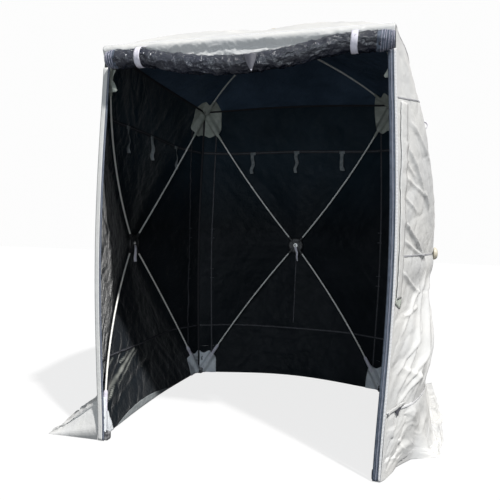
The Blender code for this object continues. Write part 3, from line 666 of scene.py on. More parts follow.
def join(name, pieces):
    """Joins pieces into the first and names it."""
    select_only(*pieces)
    bpy.ops.object.join()
    made = bpy.context.object
    made.name = made.data.name = name
    made.select_set(False)
    return made


def settle(piece, material, body="shelter", stands_for=None):
    """Paints a piece, hides the CAD node it stands for, and gives it its body."""
    if material:
        paint(piece, material)
    if stands_for:
        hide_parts(stands_for)
    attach(piece, body)


for name, panel in PANELS.items():
    face = panel.face
    rim = panel.rod_pop + 0.0085
    parts = [turned(name + "_hub_disc", [
        (0.0, face + 0.004), (0.020, face + 0.004), (0.022, face), (0.030, face), (0.033, face + 0.003),
        (0.048, face + 0.003), (0.051, face), (0.054, face + 0.001), (0.056, face + 0.004),
        (0.056, rim - 0.004), (0.0535, rim - 0.0008), (0.048, rim), (0.020, panel.pop - 0.006),
        (0.0085, panel.pop - 0.003), (0.0085, panel.pop + 0.008), (0.0, panel.pop + 0.008)], panel)]
    for side in (-1, 1):
        for end in (-1, 1):
            line = rod_line(panel, side, end, [0.030, 0.036, 0.060, 0.066])
            parts.append(tube_along(name + "_hub_socket", line, 0.0095, 16, radii=[1.0, 1.05, 1.0, 0.86]))
    for index in range(16):
        angle = math.tau * (index + 0.5) / 16
        rib_path = [panel.centre + panel.across * math.cos(angle) * r + panel.up * math.sin(angle) * r
                    + panel.out * (face + 0.0035) for r in (0.034, 0.047)]
        parts.append(tube_along(name + "_hub_rib", rib_path, 0.0016, 8))
    settle(join(name + "_hub_moulding", parts), black_plastic, BODIES[name], name + "_hub")
    low = panel.pop + 0.0052
    cap = turned(name + "_hub_cap", [
        (0.0, panel.pop + 0.030), (0.012, panel.pop + 0.0298), (0.020, panel.pop + 0.028),
        (0.027, panel.pop + 0.024), (0.031, panel.pop + 0.019), (0.034, low + 0.008), (0.034, low + 0.004),
        (0.032, low + 0.003), (0.008, low - 0.001), (0.0, low - 0.001)], panel)
    settle(cap, beige_plastic, BODIES[name])
    bolt = turned(name + "_hub_bolt", [
        (0.0, face - 0.009), (0.004, face - 0.0088), (0.0072, face - 0.0068), (0.0085, face - 0.004),
        (0.009, face - 0.002), (0.0158, face - 0.0018), (0.016, face - 0.0004), (0.016, face + 0.0005),
        (0.0, face + 0.0005)], panel, 24)
    settle(bolt, zinc, BODIES[name])

# Pull straps: short ends of light webbing, 19 mm wide, that hang from the bolts inside, to pull the hubs in
# by. Each rides with its hub.
webbing = patterned("lavender_webbing", (0.60, 0.58, 0.68), 0.82, ("noise", 60.0, 4.0),
                    [(0.3, (0.70, 0.68, 0.78)), (0.7, (0.88, 0.86, 0.94))],
                    [(("bands", 0.0022, "DIAGONAL"), 0.0004), (("bands", 0.0011, "Y"), 0.0002)])
dark_webbing = patterned("dark_grey_webbing", (0.16, 0.18, 0.19), 0.85, ("noise", 60.0, 4.0),
                         [(0.3, (0.15, 0.17, 0.18)), (0.7, (0.28, 0.30, 0.31))],
                         [(("bands", 0.0022, "DIAGONAL"), 0.0004)])


def strap_along(name, points, sides, width, thickness):
    """A flat strap whose middle runs along points; sides gives its width's direction at each."""
    points, sides = np.asarray(points, float), np.asarray(sides, float)
    if sides.ndim == 1:
        sides = np.repeat(sides[None], len(points), 0)
    sides = sides / np.linalg.norm(sides, axis=1, keepdims=True)
    length = np.concatenate([[0], np.cumsum(np.linalg.norm(np.diff(points, axis=0), axis=1))])
    across = np.linspace(-0.5, 0.5, 5) * width
    grid = points[:, None] + sides[:, None] * across[None, :, None]
    return grid_object(name, grid, length[:, None], across[None], thickness)


def smooth_path(points, count):
    """A smooth line of count points through a few."""
    points = np.asarray(points, float)
    padded = np.vstack([2 * points[0] - points[1], points, 2 * points[-1] - points[-2]])
    found = []
    for t in np.linspace(0, len(points) - 1, count):
        i = min(int(t), len(points) - 2)
        f = t - i
        a, b, c, d = padded[i:i + 4]
        found.append(0.5 * (2 * b + (c - a) * f + (2 * a - 5 * b + 4 * c - d) * f * f
                            + (3 * b - a - 3 * c + d) * f ** 3))
    return np.array(found)


for name, panel in PANELS.items():
    face = panel.face
    if name == "roof":
        run = [(0.0, 0.0, face - 0.0095), (0.001, 0.0, face - 0.045), (-0.003, 0.002, face - 0.08),
               (0.002, 0.0, face - 0.114)]
    else:
        lean = {"left": 0.012, "back": -0.020, "right": 0.010}[name]
        run = [(0.0, -0.012, face - 0.0040), (lean * 0.3, -0.030, face - 0.010),
               (lean * 0.8, -0.060, face - 0.012), (lean * 0.7, -0.090, face - 0.009),
               (lean, -0.118, face - 0.013)]
    path = smooth_path([panel.centre + panel.across * a + panel.up * b + panel.out * c
                        for a, b, c in run], 24)
    twist = np.linspace(0, 0.9, 24)[:, None]
    widths = panel.across * np.cos(twist) + panel.out * np.sin(twist)
    strap = strap_along(name + "_pull_strap", path, widths, 0.019, 0.0016)
    settle(strap, webbing, BODIES[name], name + "_hub_strap")

# Seams and tapes on the walls: the cloth's lengths are sewn with flat dark seams inside, taped and stitched
# in light thread, with a horizontal seam low and high and an upright one near each back corner. Outside, each
# seam is a thin grey strip, painted shade for the dip along the seam.
seam_thread, tree, shader = new_material("stitched_dark_seam", (0.02, 0.02, 0.026), 0.7)
place = node(tree, "ShaderNodeTexCoord")
dashes = node(tree, "ShaderNodeMath", operation="GREATER_THAN")
dashes.inputs[1].default_value = 0.55
tree.links.new(bands(tree, place.outputs["UV"], 0.009, "X"), dashes.inputs[0])
split = node(tree, "ShaderNodeSeparateXYZ")
tree.links.new(place.outputs["UV"], split.inputs[0])
middle = node(tree, "ShaderNodeMath", operation="ABSOLUTE")
tree.links.new(split.outputs["Y"], middle.inputs[0])
narrow = node(tree, "ShaderNodeMath", operation="LESS_THAN")
narrow.inputs[1].default_value = 0.0016
tree.links.new(middle.outputs[0], narrow.inputs[0])
both = node(tree, "ShaderNodeMath", operation="MULTIPLY")
tree.links.new(dashes.outputs[0], both.inputs[0])
tree.links.new(narrow.outputs[0], both.inputs[1])
tree.links.new(ramp(tree, both.outputs[0], [(0.0, (0.016, 0.017, 0.022)), (1.0, (0.20, 0.21, 0.24))]),
               shader.inputs["Base Color"])
bump(tree, shader, [(both.outputs[0], 0.0008), (noise(tree, place.outputs["Object"], 90.0, 3.0), 0.0015)])
white_seam = patterned("white_seam", (0.78, 0.78, 0.79), 0.7, ("bands", 0.006, "X"),
                       [(0.25, (0.62, 0.62, 0.64)), (0.5, (0.80, 0.80, 0.81))],
                       [(("bands", 0.006, "X"), 0.0008)])
# Painted shade: the outer seams' grey stands for the shade in each seam's dip and puckers.
seam_painted_shade = patterned("grey_stitched_seam", (0.34, 0.34, 0.36), 0.7, ("bands", 0.006, "X"),
                      [(0.25, (0.22, 0.22, 0.24)), (0.5, (0.46, 0.46, 0.48))],
                      [(("bands", 0.006, "X"), 0.0008)])
EXTRAS = {name: [] for name in PANELS}


def seam_strip(name, panel, path, width, lift, thickness=0.0014, step=0.012):
    """A strip sewn flat on a panel's cloth along (x, z) points; lift below 0 lays it on the inside."""
    path = np.asarray(path, float)
    lengths = np.linalg.norm(np.diff(path, axis=0), axis=1)
    total = np.concatenate([[0], np.cumsum(lengths)])
    count = max(3, int(total[-1] / step))
    run = np.linspace(0, total[-1], count)
    x, z = np.interp(run, total, path[:, 0]), np.interp(run, total, path[:, 1])
    tangent = np.stack([np.gradient(x), np.gradient(z)], -1)
    tangent /= np.linalg.norm(tangent, axis=1, keepdims=True)
    across = np.linspace(-0.5, 0.5, 5) * width
    gx = x[:, None] - tangent[:, 1:2] * across[None]
    gz = z[:, None] + tangent[:, 0:1] * across[None]
    return grid_object(name, panel.cloth(gx, gz, lift), run[:, None], across[None], thickness)


def on_panel(piece, panel, material, slot, **how):
    """Paints a piece on a panel, bakes its place and counts it with that cloth."""
    paint(piece, material)
    follow(piece, panel, **how)
    EXTRAS[panel.name].append(piece)


for name in WALLS:
    panel = PANELS[name]
    strips = [
        seam_strip("seam", panel, [(-0.69, -0.64), (0.69, -0.64)], 0.014, -0.0022),
        seam_strip("seam", panel, [(-0.69, 0.69), (0.69, 0.69)], 0.020, -0.0022),
        seam_strip("seam", panel, [(0.0, -0.07), (-0.27 if name == "left" else 0.0, -0.60)], 0.010, -0.0024),
    ]
    uprights = {"left": (-0.60,), "back": (-0.61, 0.61), "right": (0.60,)}[name]
    for x in uprights:
        strips.append(seam_strip("seam", panel, [(x, -0.98), (x, 0.98)], 0.012, -0.0022))
    for side in (-1, 1):
        for height in (0.11, 0.04, -0.20, -0.27):
            x = side * 0.605
            if name == "back" or (name == "left") == (side < 0):
                strips.append(seam_strip("tack", panel, [(x - 0.014, height), (x + 0.014, height)],
                                         0.005, -0.0042, 0.0012, 0.004))
    on_panel(join(name + "_wall_inner_seams", strips), panel, seam_thread, "black_fabric", lift=-0.0039)
    runs = [[(0.0, -0.07), (0.0, -0.63)]] + [[(x, -0.98), (x, 0.98)] for x in uprights]
    if name == "right":
        runs += [[(-0.69, 0.69), (-0.40, 0.725), (0.0, 0.745), (0.40, 0.725), (0.69, 0.69)]]
    else:
        runs += [[(-0.69, 0.69), (0.69, 0.69)], [(-0.69, -0.64), (0.69, -0.64)]]
    outer = join(name + "_wall_outer_seams", [seam_strip("seam", panel, run, 0.007, 0.0016) for run in runs])
    on_panel(outer, panel, seam_painted_shade, "white_fabric", lift=0.0031)

# Bindings: folded tape sewn over the corners where two cloths meet, 10 mm wide and white outside, 14 mm wide
# and black inside.
black_binding = patterned("black_binding_tape", (0.012, 0.012, 0.016), 0.75, ("noise", 70.0, 3.0),
                          [(0.3, (0.009, 0.009, 0.012)), (0.7, (0.024, 0.024, 0.030))],
                          [(("noise", 260.0, 3.0), 0.0008)])
for side, name in ((-1, "left"), (1, "right")):
    path = PANELS[name].cloth(np.full(120, side * HALF), np.linspace(-0.995, 0.995, 120))
    outward = np.array(Vector((side, 1, 0)).normalized())
    width_way = np.array((1, -side, 0.0))
    binding = strap_along(name + "_back_corner_binding", path + outward * 0.0016, width_way, 0.010, 0.0014)
    settle(binding, white_seam)
    inside = strap_along(name + "_back_corner_inner_binding", path - outward * 0.0095, width_way,
                         0.014, 0.0014)
    settle(inside, black_binding)
for name in WALLS:
    panel = PANELS[name]
    x = np.linspace(-0.998, 0.998, 110) * HALF
    path = panel.cloth(x, np.full(110, 1.0))
    outward = np.array(panel.out + np.array((0, 0, 1.0)))
    outward /= np.linalg.norm(outward)
    down = np.array((0, 0, 1.0)) - panel.out
    binding = seam_strip(name + "_eave_binding", panel, [(-0.699, 0.9935), (0.699, 0.9935)], 0.010, 0.0016)
    on_panel(binding, panel, white_seam, "white_fabric", lift=0.0031)
    inside = strap_along(name + "_eave_inner_binding", path - outward * 0.0095, down, 0.014, 0.0014)
    settle(inside, black_binding)

# Ties: three dark webbing ties, 25 mm wide, hang under the upper seam of each wall inside, for rolling up a
# flap or hanging a lamp.
TIE_PLACES = {"left": (-0.4545, -0.1045, 0.2205), "back": (-0.337, 0.0, 0.337),
              "right": (-0.2205, 0.1045, 0.4545)}
TIE_TILTS = {"left": -1.85, "back": -2.94, "right": -4.84}
for name, places in TIE_PLACES.items():
    panel = PANELS[name]
    parts = []
    for index, x in enumerate(places):
        parts.append(seam_strip("tape", panel, [(x - 0.020, 0.685), (x + 0.020, 0.685)],
                                0.020, -0.0042, 0.0016, 0.006))
        start = panel.cloth(x, 0.690, -0.0062)
        drop = [(0.0, 0.0, 0.0), (0.004, -0.040, 0.001), (-0.006, -0.085, 0.004), (0.008, -0.125, 0.001),
                (0.002 * index, -0.158, 0.005)]
        if name == "back" and index == 0:
            drop = [(0.0, 0.0, 0.0), (0.002, -0.060, 0.001), (0.0, -0.125, 0.003), (-0.012, -0.140, 0.006),
                    (-0.004, -0.112, 0.008)]
        path = smooth_path([start + panel.across * a + panel.up * b - panel.out * c for a, b, c in drop], 26)
        most = (1.5 if name == "left" else 0.375) * (1 if index % 2 else -1)
        angle = np.linspace(0, most, 26)[:, None]
        widths = panel.across * np.cos(angle) + panel.out * np.sin(angle)
        parts.append(strap_along("tie", path, widths, 0.025, 0.0016))
    ties = join(name + "_wall_webbing_ties", parts)
    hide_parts(name + "_wall_ties")
    on_panel(ties, panel, dark_webbing, "dark_webbing", lift=-0.0077, tilt=TIE_TILTS[name], at=1.69)

# Corner patches: thick cloth sewn over the corners inside, light blue grey low down, with a folded sleeve for
# each rod's end and small black hooks for ties. The upper patches and their sleeves are painted a darker
# khaki grey, as painted shade.
PATCH_WEAVE = [(("noise", 60.0, 4.0), 0.004), (("bands", 0.003, "X"), 0.0003),
               (("bands", 0.003, "Y"), 0.0003)]
# Painted shade: the upper patches' cloth is a darker khaki copy of the patch cloth, for the shade up under
# the roof.
shaded_patch_paint = patterned("khaki_grey_patch_cloth", (0.30, 0.32, 0.29), 0.85, ("noise", 24.0, 5.0),
                      [(0.3, (0.34, 0.37, 0.33)), (0.7, (0.52, 0.55, 0.50))], PATCH_WEAVE)
patch_low = patterned("blue_grey_patch_cloth", (0.58, 0.62, 0.68), 0.8, ("noise", 24.0, 5.0),
                      [(0.3, (0.66, 0.70, 0.76)), (0.7, (0.82, 0.85, 0.88))], PATCH_WEAVE)
sleeve_cloth = patterned("lavender_sleeve_cloth", (0.72, 0.70, 0.80), 0.8, ("noise", 30.0, 5.0),
                         [(0.3, (0.62, 0.60, 0.70)), (0.7, (0.80, 0.78, 0.86))],
                         [(("noise", 80.0, 4.0), 0.003)])
CORNERS = [(side, depth, ("back" if depth > 0 else "front") + ("_left" if side < 0 else "_right"))
           for side in (-1, 1) for depth in (-1, 1)]


def corner_panels(side, depth, top):
    """The panels that meet at a corner, each with the signs of that corner in the panel's own axes."""
    wall = "left" if side < 0 else "right"
    found = [(wall, depth * (1 if wall == "right" else -1), 1 if top else -1)]
    if depth > 0:
        found.append(("back", -side, 1 if top else -1))
    if top:
        found.append(("roof", side, depth))
    return found


def patch_face(panel, across_sign, up_sign, width, height, seed):
    """One face of a corner patch: it lies on the wall, and tents over the rod's end tucked under it."""
    a, b = np.meshgrid(np.linspace(0, 1, 25), np.linspace(0, 1, 31))
    scallop = 1 + 0.05 * np.sin(a * 9 + seed) * b ** 3 - 0.05 * np.sin(a * math.pi) * b ** 2
    x = across_sign * (HALF - 0.002 - a * width * (1 - 0.14 * b ** 2))
    z = up_sign * (panel.half_up - 0.002 - b * height * scallop)
    points = panel.cloth(x, z, -0.0030)
    puff = 0.0030 * np.sin(a * math.pi) * np.sin(b * math.pi) + 0.0022 * crease(x, z, 0.05, 0.04, seed)
    line = rod_line(panel, across_sign, up_sign, np.linspace(0.72, 1.0, 60)) - panel.centre
    flat = (points - panel.centre) @ np.stack([panel.across, panel.up, panel.out], -1)
    gap = np.hypot(flat[..., 0, None] - line @ panel.across, flat[..., 1, None] - line @ panel.up)
    nearest = gap.argmin(-1)
    cover = flat[..., 2] - (line @ panel.out)[nearest] + ROD + 0.0030
    near_rod = np.clip((0.036 - gap.min(-1)) / 0.027, 0, 1)
    tent = np.clip(cover, 0, None) * near_rod * near_rod * (3 - 2 * near_rod)
    points = points - panel.out * np.maximum(puff, tent)[..., None]
    return grid_object("face", points, x, z, 0.0016)


def sleeve(panel, side, end, start, stop, radius, seed):
    """A cloth sleeve sewn round a rod's end, a little loose and creased."""
    share = np.linspace(start, stop, 18)
    line = rod_line(panel, side, end, share)
    loose = 1 + 0.12 * ripple(share * 10, share * 0, 0.17, 1.0, seed)
    loose[:2] = (0.80, 0.92)
    return tube_along("sleeve", line, radius, 16, radii=loose)


def hook(spot, way, size):
    """A small bent hook of black plastic."""
    way = np.asarray(way, float)
    drop = np.array((0, 0, -1.0))
    run = [spot, spot + way * size * 0.6 + drop * size * 0.1, spot + way * size * 0.75 + drop * size * 0.6,
           spot + way * size * 0.35 + drop * size, spot + way * size * 0.05 + drop * size * 0.75]
    return tube_along("hook", smooth_path(run, 14), 0.0022, 8)


for side, depth, corner in CORNERS:
    for top in (True, False):
        parts, hooks = [], []
        front_low = depth < 0 and not top
        for order, (name, across_sign, up_sign) in enumerate(corner_panels(side, depth, top)):
            panel = PANELS[name]
            seed = 500 + order * 13 + side * 5 + depth * 3 + top * 40
            wide = 0.150 if front_low else 0.132
            tall = 0.130 if name == "roof" else 0.190 if top or front_low else 0.160
            face = patch_face(panel, across_sign, up_sign, wide, tall, seed)
            paint(face, shaded_patch_paint if top else patch_low)
            start, thick = (0.825, 0.0088) if top else (0.800, 0.0120)
            pocket = sleeve(panel, across_sign, up_sign, start, 0.900, thick, seed)
            paint(pocket, shaded_patch_paint if top else sleeve_cloth)
            parts += [face, pocket]
            spot = panel.cloth(across_sign * (HALF - 0.030),
                               up_sign * (panel.half_up - (0.046 if top else 0.120)), -0.008)
            hooks.append(hook(spot, -panel.out if name != "roof" else np.array((0, -0.7, -0.7)), 0.026))
        if depth < 0 and top:
            # The flap by the roll's end is painted in the darker, shaded patch colour too.
            flap_z = np.linspace(1.899, 1.786, 15)[:, None]
            free = np.interp(flap_z, [1.786, 1.795, 1.822, 1.850, 1.872, 1.899],
                             [0.664, 0.656, 0.670, 0.687, 0.677, 0.664])
            share = np.linspace(0, 1, 9)[None]
            flap_x = side * (0.715 + (free - 0.715) * share)
            flap_y = FRONT_Y + 0.046 + 0.004 * np.sin(share * 5 + flap_z * 60)
            flap = grid_object("flap", np.stack(np.broadcast_arrays(flap_x, flap_y, flap_z), -1),
                               flap_x, flap_z, 0.0014)
            parts.append(paint(flap, shaded_patch_paint))
        if depth > 0:
            name, across_sign, _ = corner_panels(side, depth, top)[0]
            z = np.linspace(0.985, 0.815, 30) if top else np.linspace(-0.985, -0.83, 30)
            path = PANELS[name].cloth(np.full(30, across_sign * HALF), z)
            inward = np.array((-side, -1.0, 0.0)) / math.sqrt(2)
            fold = strap_along("fold", path + inward * 0.0075, np.array((1, -side, 0.0)), 0.010, 0.0016)
            parts.append(paint(fold, black_binding if top else dark_webbing))
        level = corner + ("_top" if top else "_bottom")
        patch = join(level + "_patch_cloth", parts)
        settle(patch, None, stands_for=level + "_patch")
        if top:
            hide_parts(corner + "_top_socket")
        settle(join(level + "_hooks", hooks), black_plastic)

# Feet: dark moulded boots in the four bottom corners that hold the lower rods' ends off the ground. Each
# fills a share of its CAD box, less across at the front right.
BOOT, NARROW_BOOT = 0.78, 0.60
grey_plastic = patterned("grey_moulded_plastic", (0.12, 0.12, 0.13), 0.5, ("noise", 45.0, 4.0),
                         [(0.42, (0.045, 0.046, 0.052)), (0.6, (0.30, 0.30, 0.31))],
                         [(("noise", 600.0, 2.0), 0.0005), (("noise", 40.0, 4.0), 0.002)])
for side, depth, corner in CORNERS:
    low, high = [Vector(end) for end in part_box(corner + "_foot")]
    tip = Vector((low.x if side < 0 else high.x, low.y if depth < 0 else high.y, low.z))
    narrow = (BOOT if side < 0 or depth > 0 else NARROW_BOOT) / BOOT
    low, high = tip.lerp(low, BOOT), tip.lerp(high, BOOT)
    low.x, high.x = tip.x + (low.x - tip.x) * narrow, tip.x + (high.x - tip.x) * narrow
    bpy.ops.object.select_all(action="DESELECT")
    bpy.ops.mesh.primitive_cube_add(size=1, location=(low + high) / 2)
    boot = bpy.context.object
    boot.scale = high - low
    bpy.ops.object.transform_apply(location=True, rotation=True, scale=True)
    bpy.ops.object.mode_set(mode="EDIT")
    bpy.ops.mesh.select_all(action="SELECT")
    bpy.ops.mesh.bevel(offset=0.008, segments=4, affect="EDGES")
    bpy.ops.mesh.select_all(action="DESELECT")
    bpy.ops.object.mode_set(mode="OBJECT")
    for polygon in boot.data.polygons:
        polygon.select = polygon.normal.z > 0.99 and polygon.area > 0.0005
    bpy.ops.object.mode_set(mode="EDIT")
    bpy.ops.mesh.inset(thickness=0.004, depth=0.0)
    bpy.ops.mesh.inset(thickness=0.001, depth=-0.012)
    bpy.ops.object.mode_set(mode="OBJECT")
    finish_smooth(boot)
    parts = [boot]
    for name, across_sign, up_sign in corner_panels(side, depth, False):
        line = rod_line(PANELS[name], across_sign, up_sign, [0.955, 0.960, 0.975, 0.99])
        parts.append(tube_along("collar", line, 0.0092, 16, radii=[0.85, 1.0, 1.0, 1.0]))
    settle(join(corner + "_boot", parts), grey_plastic, stands_for=corner + "_foot")

# Header and rolled door: the front is one sheet sewn to the roof's front edge. Its top strip hangs white side
# out; the rest is rolled up outward, so the roll shows the black coated side, crinkled and a little slack.
HEADER_TOP = 2.003
ROLL_RADIUS = 0.0430
ROLL_Y = FRONT_Y - 0.0550
LAYER = 0.00288
STRAPS = {"left": -0.475, "right": 0.535}


def roll_axis(x):
    """Height of the roll's middle: it sags between the straps."""
    return 1.915 - 0.060 * (1 - np.clip(np.abs(x) / 0.455, 0, 1) ** 2)


def roll_end(side, wound):
    """Where the door's edge lies after so many turns: the edges bow, so the turns step outward."""
    height = np.clip(0.93 - 0.27 * wound + 0.0090 * wound * wound, -1, 1)
    bow = np.clip(1 - height * height, 0, 1) ** 1.6
    return side * (0.652 + 0.050 * bow) if side > 0 else side * (0.622 + 0.033 * bow)


def roll_lumps(x, angle, radius):
    """How far the slack roll is out of round."""
    total = np.zeros(np.broadcast(x, angle).shape)
    for k in range(2, 8):
        size = 0.022 * ripple(x, x * 0, 0.085, 1.0, 900 + k) + 0.016 * ripple(x, x * 0, 0.030, 1.0, 930 + k)
        total = total + size / math.sqrt(k) * np.sin(k * angle + 4 * ripple(x, x * 0, 0.10, 1.0, 950 + k))
    tight = 1 - 0.80 * sum(np.exp(-((x - place) / 0.030) ** 2) for place in STRAPS.values())
    return 1 + total * 2.4 * tight * np.clip(radius / ROLL_RADIUS, 0.3, 1)


def roll_points(x, wound, extra=0.0):
    """Points of the wound cloth."""
    angle = -math.tau * wound
    bare = ROLL_RADIUS - LAYER * wound
    radius = bare * roll_lumps(x, angle, bare)
    arc = bare * math.tau * wound
    crinkle = 1 - crease(x + 0.75 * arc, arc - 0.3 * x, 0.060, 0.042, 81)
    cross = 1 - crease(x - 0.60 * arc, arc + 0.2 * x, 0.034, 0.026, 85)
    small = 1 - crease(x - 0.7 * arc, arc + 0.3 * x, 0.019, 0.030, 83)
    top = np.clip(1.15 - wound, 0, 1) ** 0.5
    folds = 0.0075 - 0.0075 * crinkle + 0.0045 * (1 - cross) + 0.0042 * (1 - small) - 0.0045
    radius = radius + folds * top + extra
    return np.stack([x + 0 * wound, ROLL_Y + radius * np.cos(angle),
                     roll_axis(x) + radius * np.sin(angle)], -1)


header_x, header_t = np.meshgrid(np.linspace(-HALF, HALF, 221), np.linspace(0, 1, 31))
header_z = HEADER_TOP + (roll_axis(header_x) - HEADER_TOP) * header_t
drop = HEADER_TOP - header_z
header_y = FRONT_Y - 0.0040 - 0.0030 * np.clip(header_t * 1.3, 0, 1) ** 2
header_y = header_y - 0.0190 * np.sin(math.pi * np.clip(drop / 0.060, 0, 1) ** 0.8)
pull = (ripple(header_x + 0.5 * header_z, header_z, 0.060, 0.12, 71)
        + 1.4 * crease(header_x - 0.8 * header_z, header_z, 0.050, 0.05, 72)
        + 0.5 * crease(header_x + 0.9 * header_z, header_z, 0.022, 0.03, 73))
header_y = header_y - 0.0040 * np.clip(pull, -0.3, 1.5) * np.sin(header_t * math.pi)
header = grid_object("front_header_cloth", np.stack([header_x, header_y, header_z], -1),
                     header_x, header_z, CLOTH)
settle(header, white_cloth, stands_for="front_header")

roll_cloth = cloth_material("black_rolled_cloth", (0.020, 0.024, 0.040), (0.009, 0.011, 0.020),
                            0.20, 0.0170, 0.85)
zip_cloth = patterned("dark_blue_grey_zip_tape", (0.035, 0.042, 0.058), 0.75, ("noise", 50.0, 4.0),
                      [(0.3, (0.060, 0.075, 0.105)), (0.7, (0.110, 0.135, 0.180))],
                      [(("bands", 0.0014, "X"), 0.0002), (("bands", 0.0030, "Y"), 0.0002)])
zip_coil = patterned("grey_lavender_zip_teeth", (0.26, 0.27, 0.33), 0.5, ("bands", 0.0042, "X"),
                     [(0.25, (0.060, 0.070, 0.095)), (0.6, (0.30, 0.32, 0.40))],
                     [(("bands", 0.0042, "X"), 0.0010)])
ring_cloth = patterned("lavender_ring_tape", (0.40, 0.39, 0.48), 0.7, ("noise", 160.0, 3.0),
                       [(0.3, (0.24, 0.23, 0.31)), (0.7, (0.50, 0.49, 0.58))],
                       [(("noise", 420.0, 2.0), 0.0010)])

TURNS = 12.2
wound = np.concatenate([np.linspace(0, 2, 145)[:-1], np.linspace(2, TURNS, int((TURNS - 2) * 10))])
share = np.concatenate([[0, 0.006, 0.012, 0.018], np.linspace(0.026, 0.974, 185), [0.982, 0.988, 0.994, 1]])
gs, gw = np.meshgrid(share, wound)
gx = roll_end(-1, gw) * (1 - gs) + roll_end(1, gw) * gs
roll = grid_object("rolled_door_cloth", roll_points(gx, gw), gx, -0.24 * gw)
wide = len(share) - 1
at_edge = [int(c % wide < 4 or c % wide >= wide - 4) for c in range(len(roll.data.polygons))]
roll.data.polygons.foreach_set("material_index", at_edge)
thicken(roll, 0.0010)
paint_indexed(roll, roll_cloth, zip_cloth)
settle(roll, None, stands_for="door_roll")
rings = []
for side in (-1, 1):
    for from_edge in (0.004, 0.015):
        w = np.linspace(0.02, 5.2, 260)
        x = roll_end(side, w) - side * from_edge
        rings.append(tube_along("ring", roll_points(x, w, 0.0012), 0.0015, 8))
rings = join("rolled_door_zip_rings", rings)
settle(rings, ring_cloth)

# The door's free corner: a small pointed tail of dark grey cloth, 60 mm wide, that has slipped out of the
# roll, with a light bound tip.
tail_x = 0.082
a, b = np.meshgrid(np.linspace(-1, 1, 13), np.linspace(0, 1, 19))
half_width = 0.030 * (1 - b) ** 0.8 + 0.002
tail = np.stack([tail_x + a * half_width + 0.010 * b,
                 ROLL_Y - 0.0475 - 0.006 * b - 0.004 * np.cos(a * 3) * (1 - b),
                 roll_axis(tail_x) + 0.024 - 0.078 * b + 0.003 * np.sin(a * 4 + b * 5)], -1)
tail = grid_object("rolled_door_tail", tail, a * half_width, b * 0.07)
tip = [int(polygon.center.z < roll_axis(tail_x) - 0.046) for polygon in tail.data.polygons]
tail.data.polygons.foreach_set("material_index", tip)
thicken(tail, 0.0012)
dark_grey_cloth = cloth_material("dark_grey_cloth", (0.10, 0.10, 0.12), (0.06, 0.06, 0.075), 0.5, 0.0030)
paint_indexed(tail, dark_grey_cloth, webbing)
settle(tail, None)

# Door straps: light webbing, 30 mm wide, sewn to the header. They go round the roll on either side and hold
# it up.
SEWN_Y, SEWN_Z = FRONT_Y - 0.0300, 1.976
for word, x in STRAPS.items():
    radius = ROLL_RADIUS + 0.0044
    back, rise = SEWN_Y - ROLL_Y, SEWN_Z - roll_axis(x)
    start = math.atan2(rise, back) + math.acos(radius / math.hypot(back, rise))
    run = [(SEWN_Y, SEWN_Z), (FRONT_Y - 0.0320, 1.973)]
    for angle in np.linspace(start, math.radians(292), 36):
        run.append((ROLL_Y + radius * math.cos(angle), roll_axis(x) + radius * math.sin(angle)))
    path = smooth_path([(x + 0.0015 * math.sin(i * 0.2), y, z) for i, (y, z) in enumerate(run)], 90)
    strap = strap_along(word + "_door_strap_webbing", path, np.array((1.0, 0.0, 0.02)), 0.030, 0.0018)
    settle(strap, webbing, stands_for=word + "_door_strap")

# Zips: the door's zip halves stay on the walls' front edges, a dark tape with a line of teeth. The cloth's
# raw edge beside each is bound with cream tape.
for side, word in ((-1, "left"), (1, "right")):
    panel = PANELS[word]
    edge = 1 if side < 0 else -1
    binding_wide, teeth_at = (0.024, 0.028) if side < 0 else (0.010, 0.019)
    z = np.linspace(-0.996, 0.895, 150)
    line = panel.cloth(np.full_like(z, edge * HALF), z)
    line[:, 1] = FRONT_Y - 0.0042
    inward = np.array((-side, 0.0, 0.0))
    forward = np.array((0.0, -1.0, 0.0))
    wave = 0.0012 * ripple(z, z * 0, 0.05, 1.0, 77)[:, None]
    tape = strap_along(word + "_zip_tape", line + inward * 0.017 + forward * wave, inward, 0.032, 0.0016)
    settle(tape, zip_cloth, stands_for=word + "_front_zip")
    teeth = strap_along(word + "_zip_teeth", line + inward * (teeth_at + wave) + forward * 0.0018, inward,
                        0.0050, 0.0014)
    settle(teeth, zip_coil)
    binding = strap_along(word + "_front_binding",
                          line + inward * (binding_wide / 2 - 0.002) + forward * 0.0022,
                          inward, binding_wide, 0.0018)
    settle(binding, white_cloth if side < 0 else white_seam)
x = np.linspace(-0.998, 0.998, 110) * HALF
line = np.stack([x, np.full_like(x, FRONT_Y - 0.0050), np.full_like(x, 2.0015)], -1)
settle(tube_along("roof_front_piping", line, 0.0042, 12), white_seam)

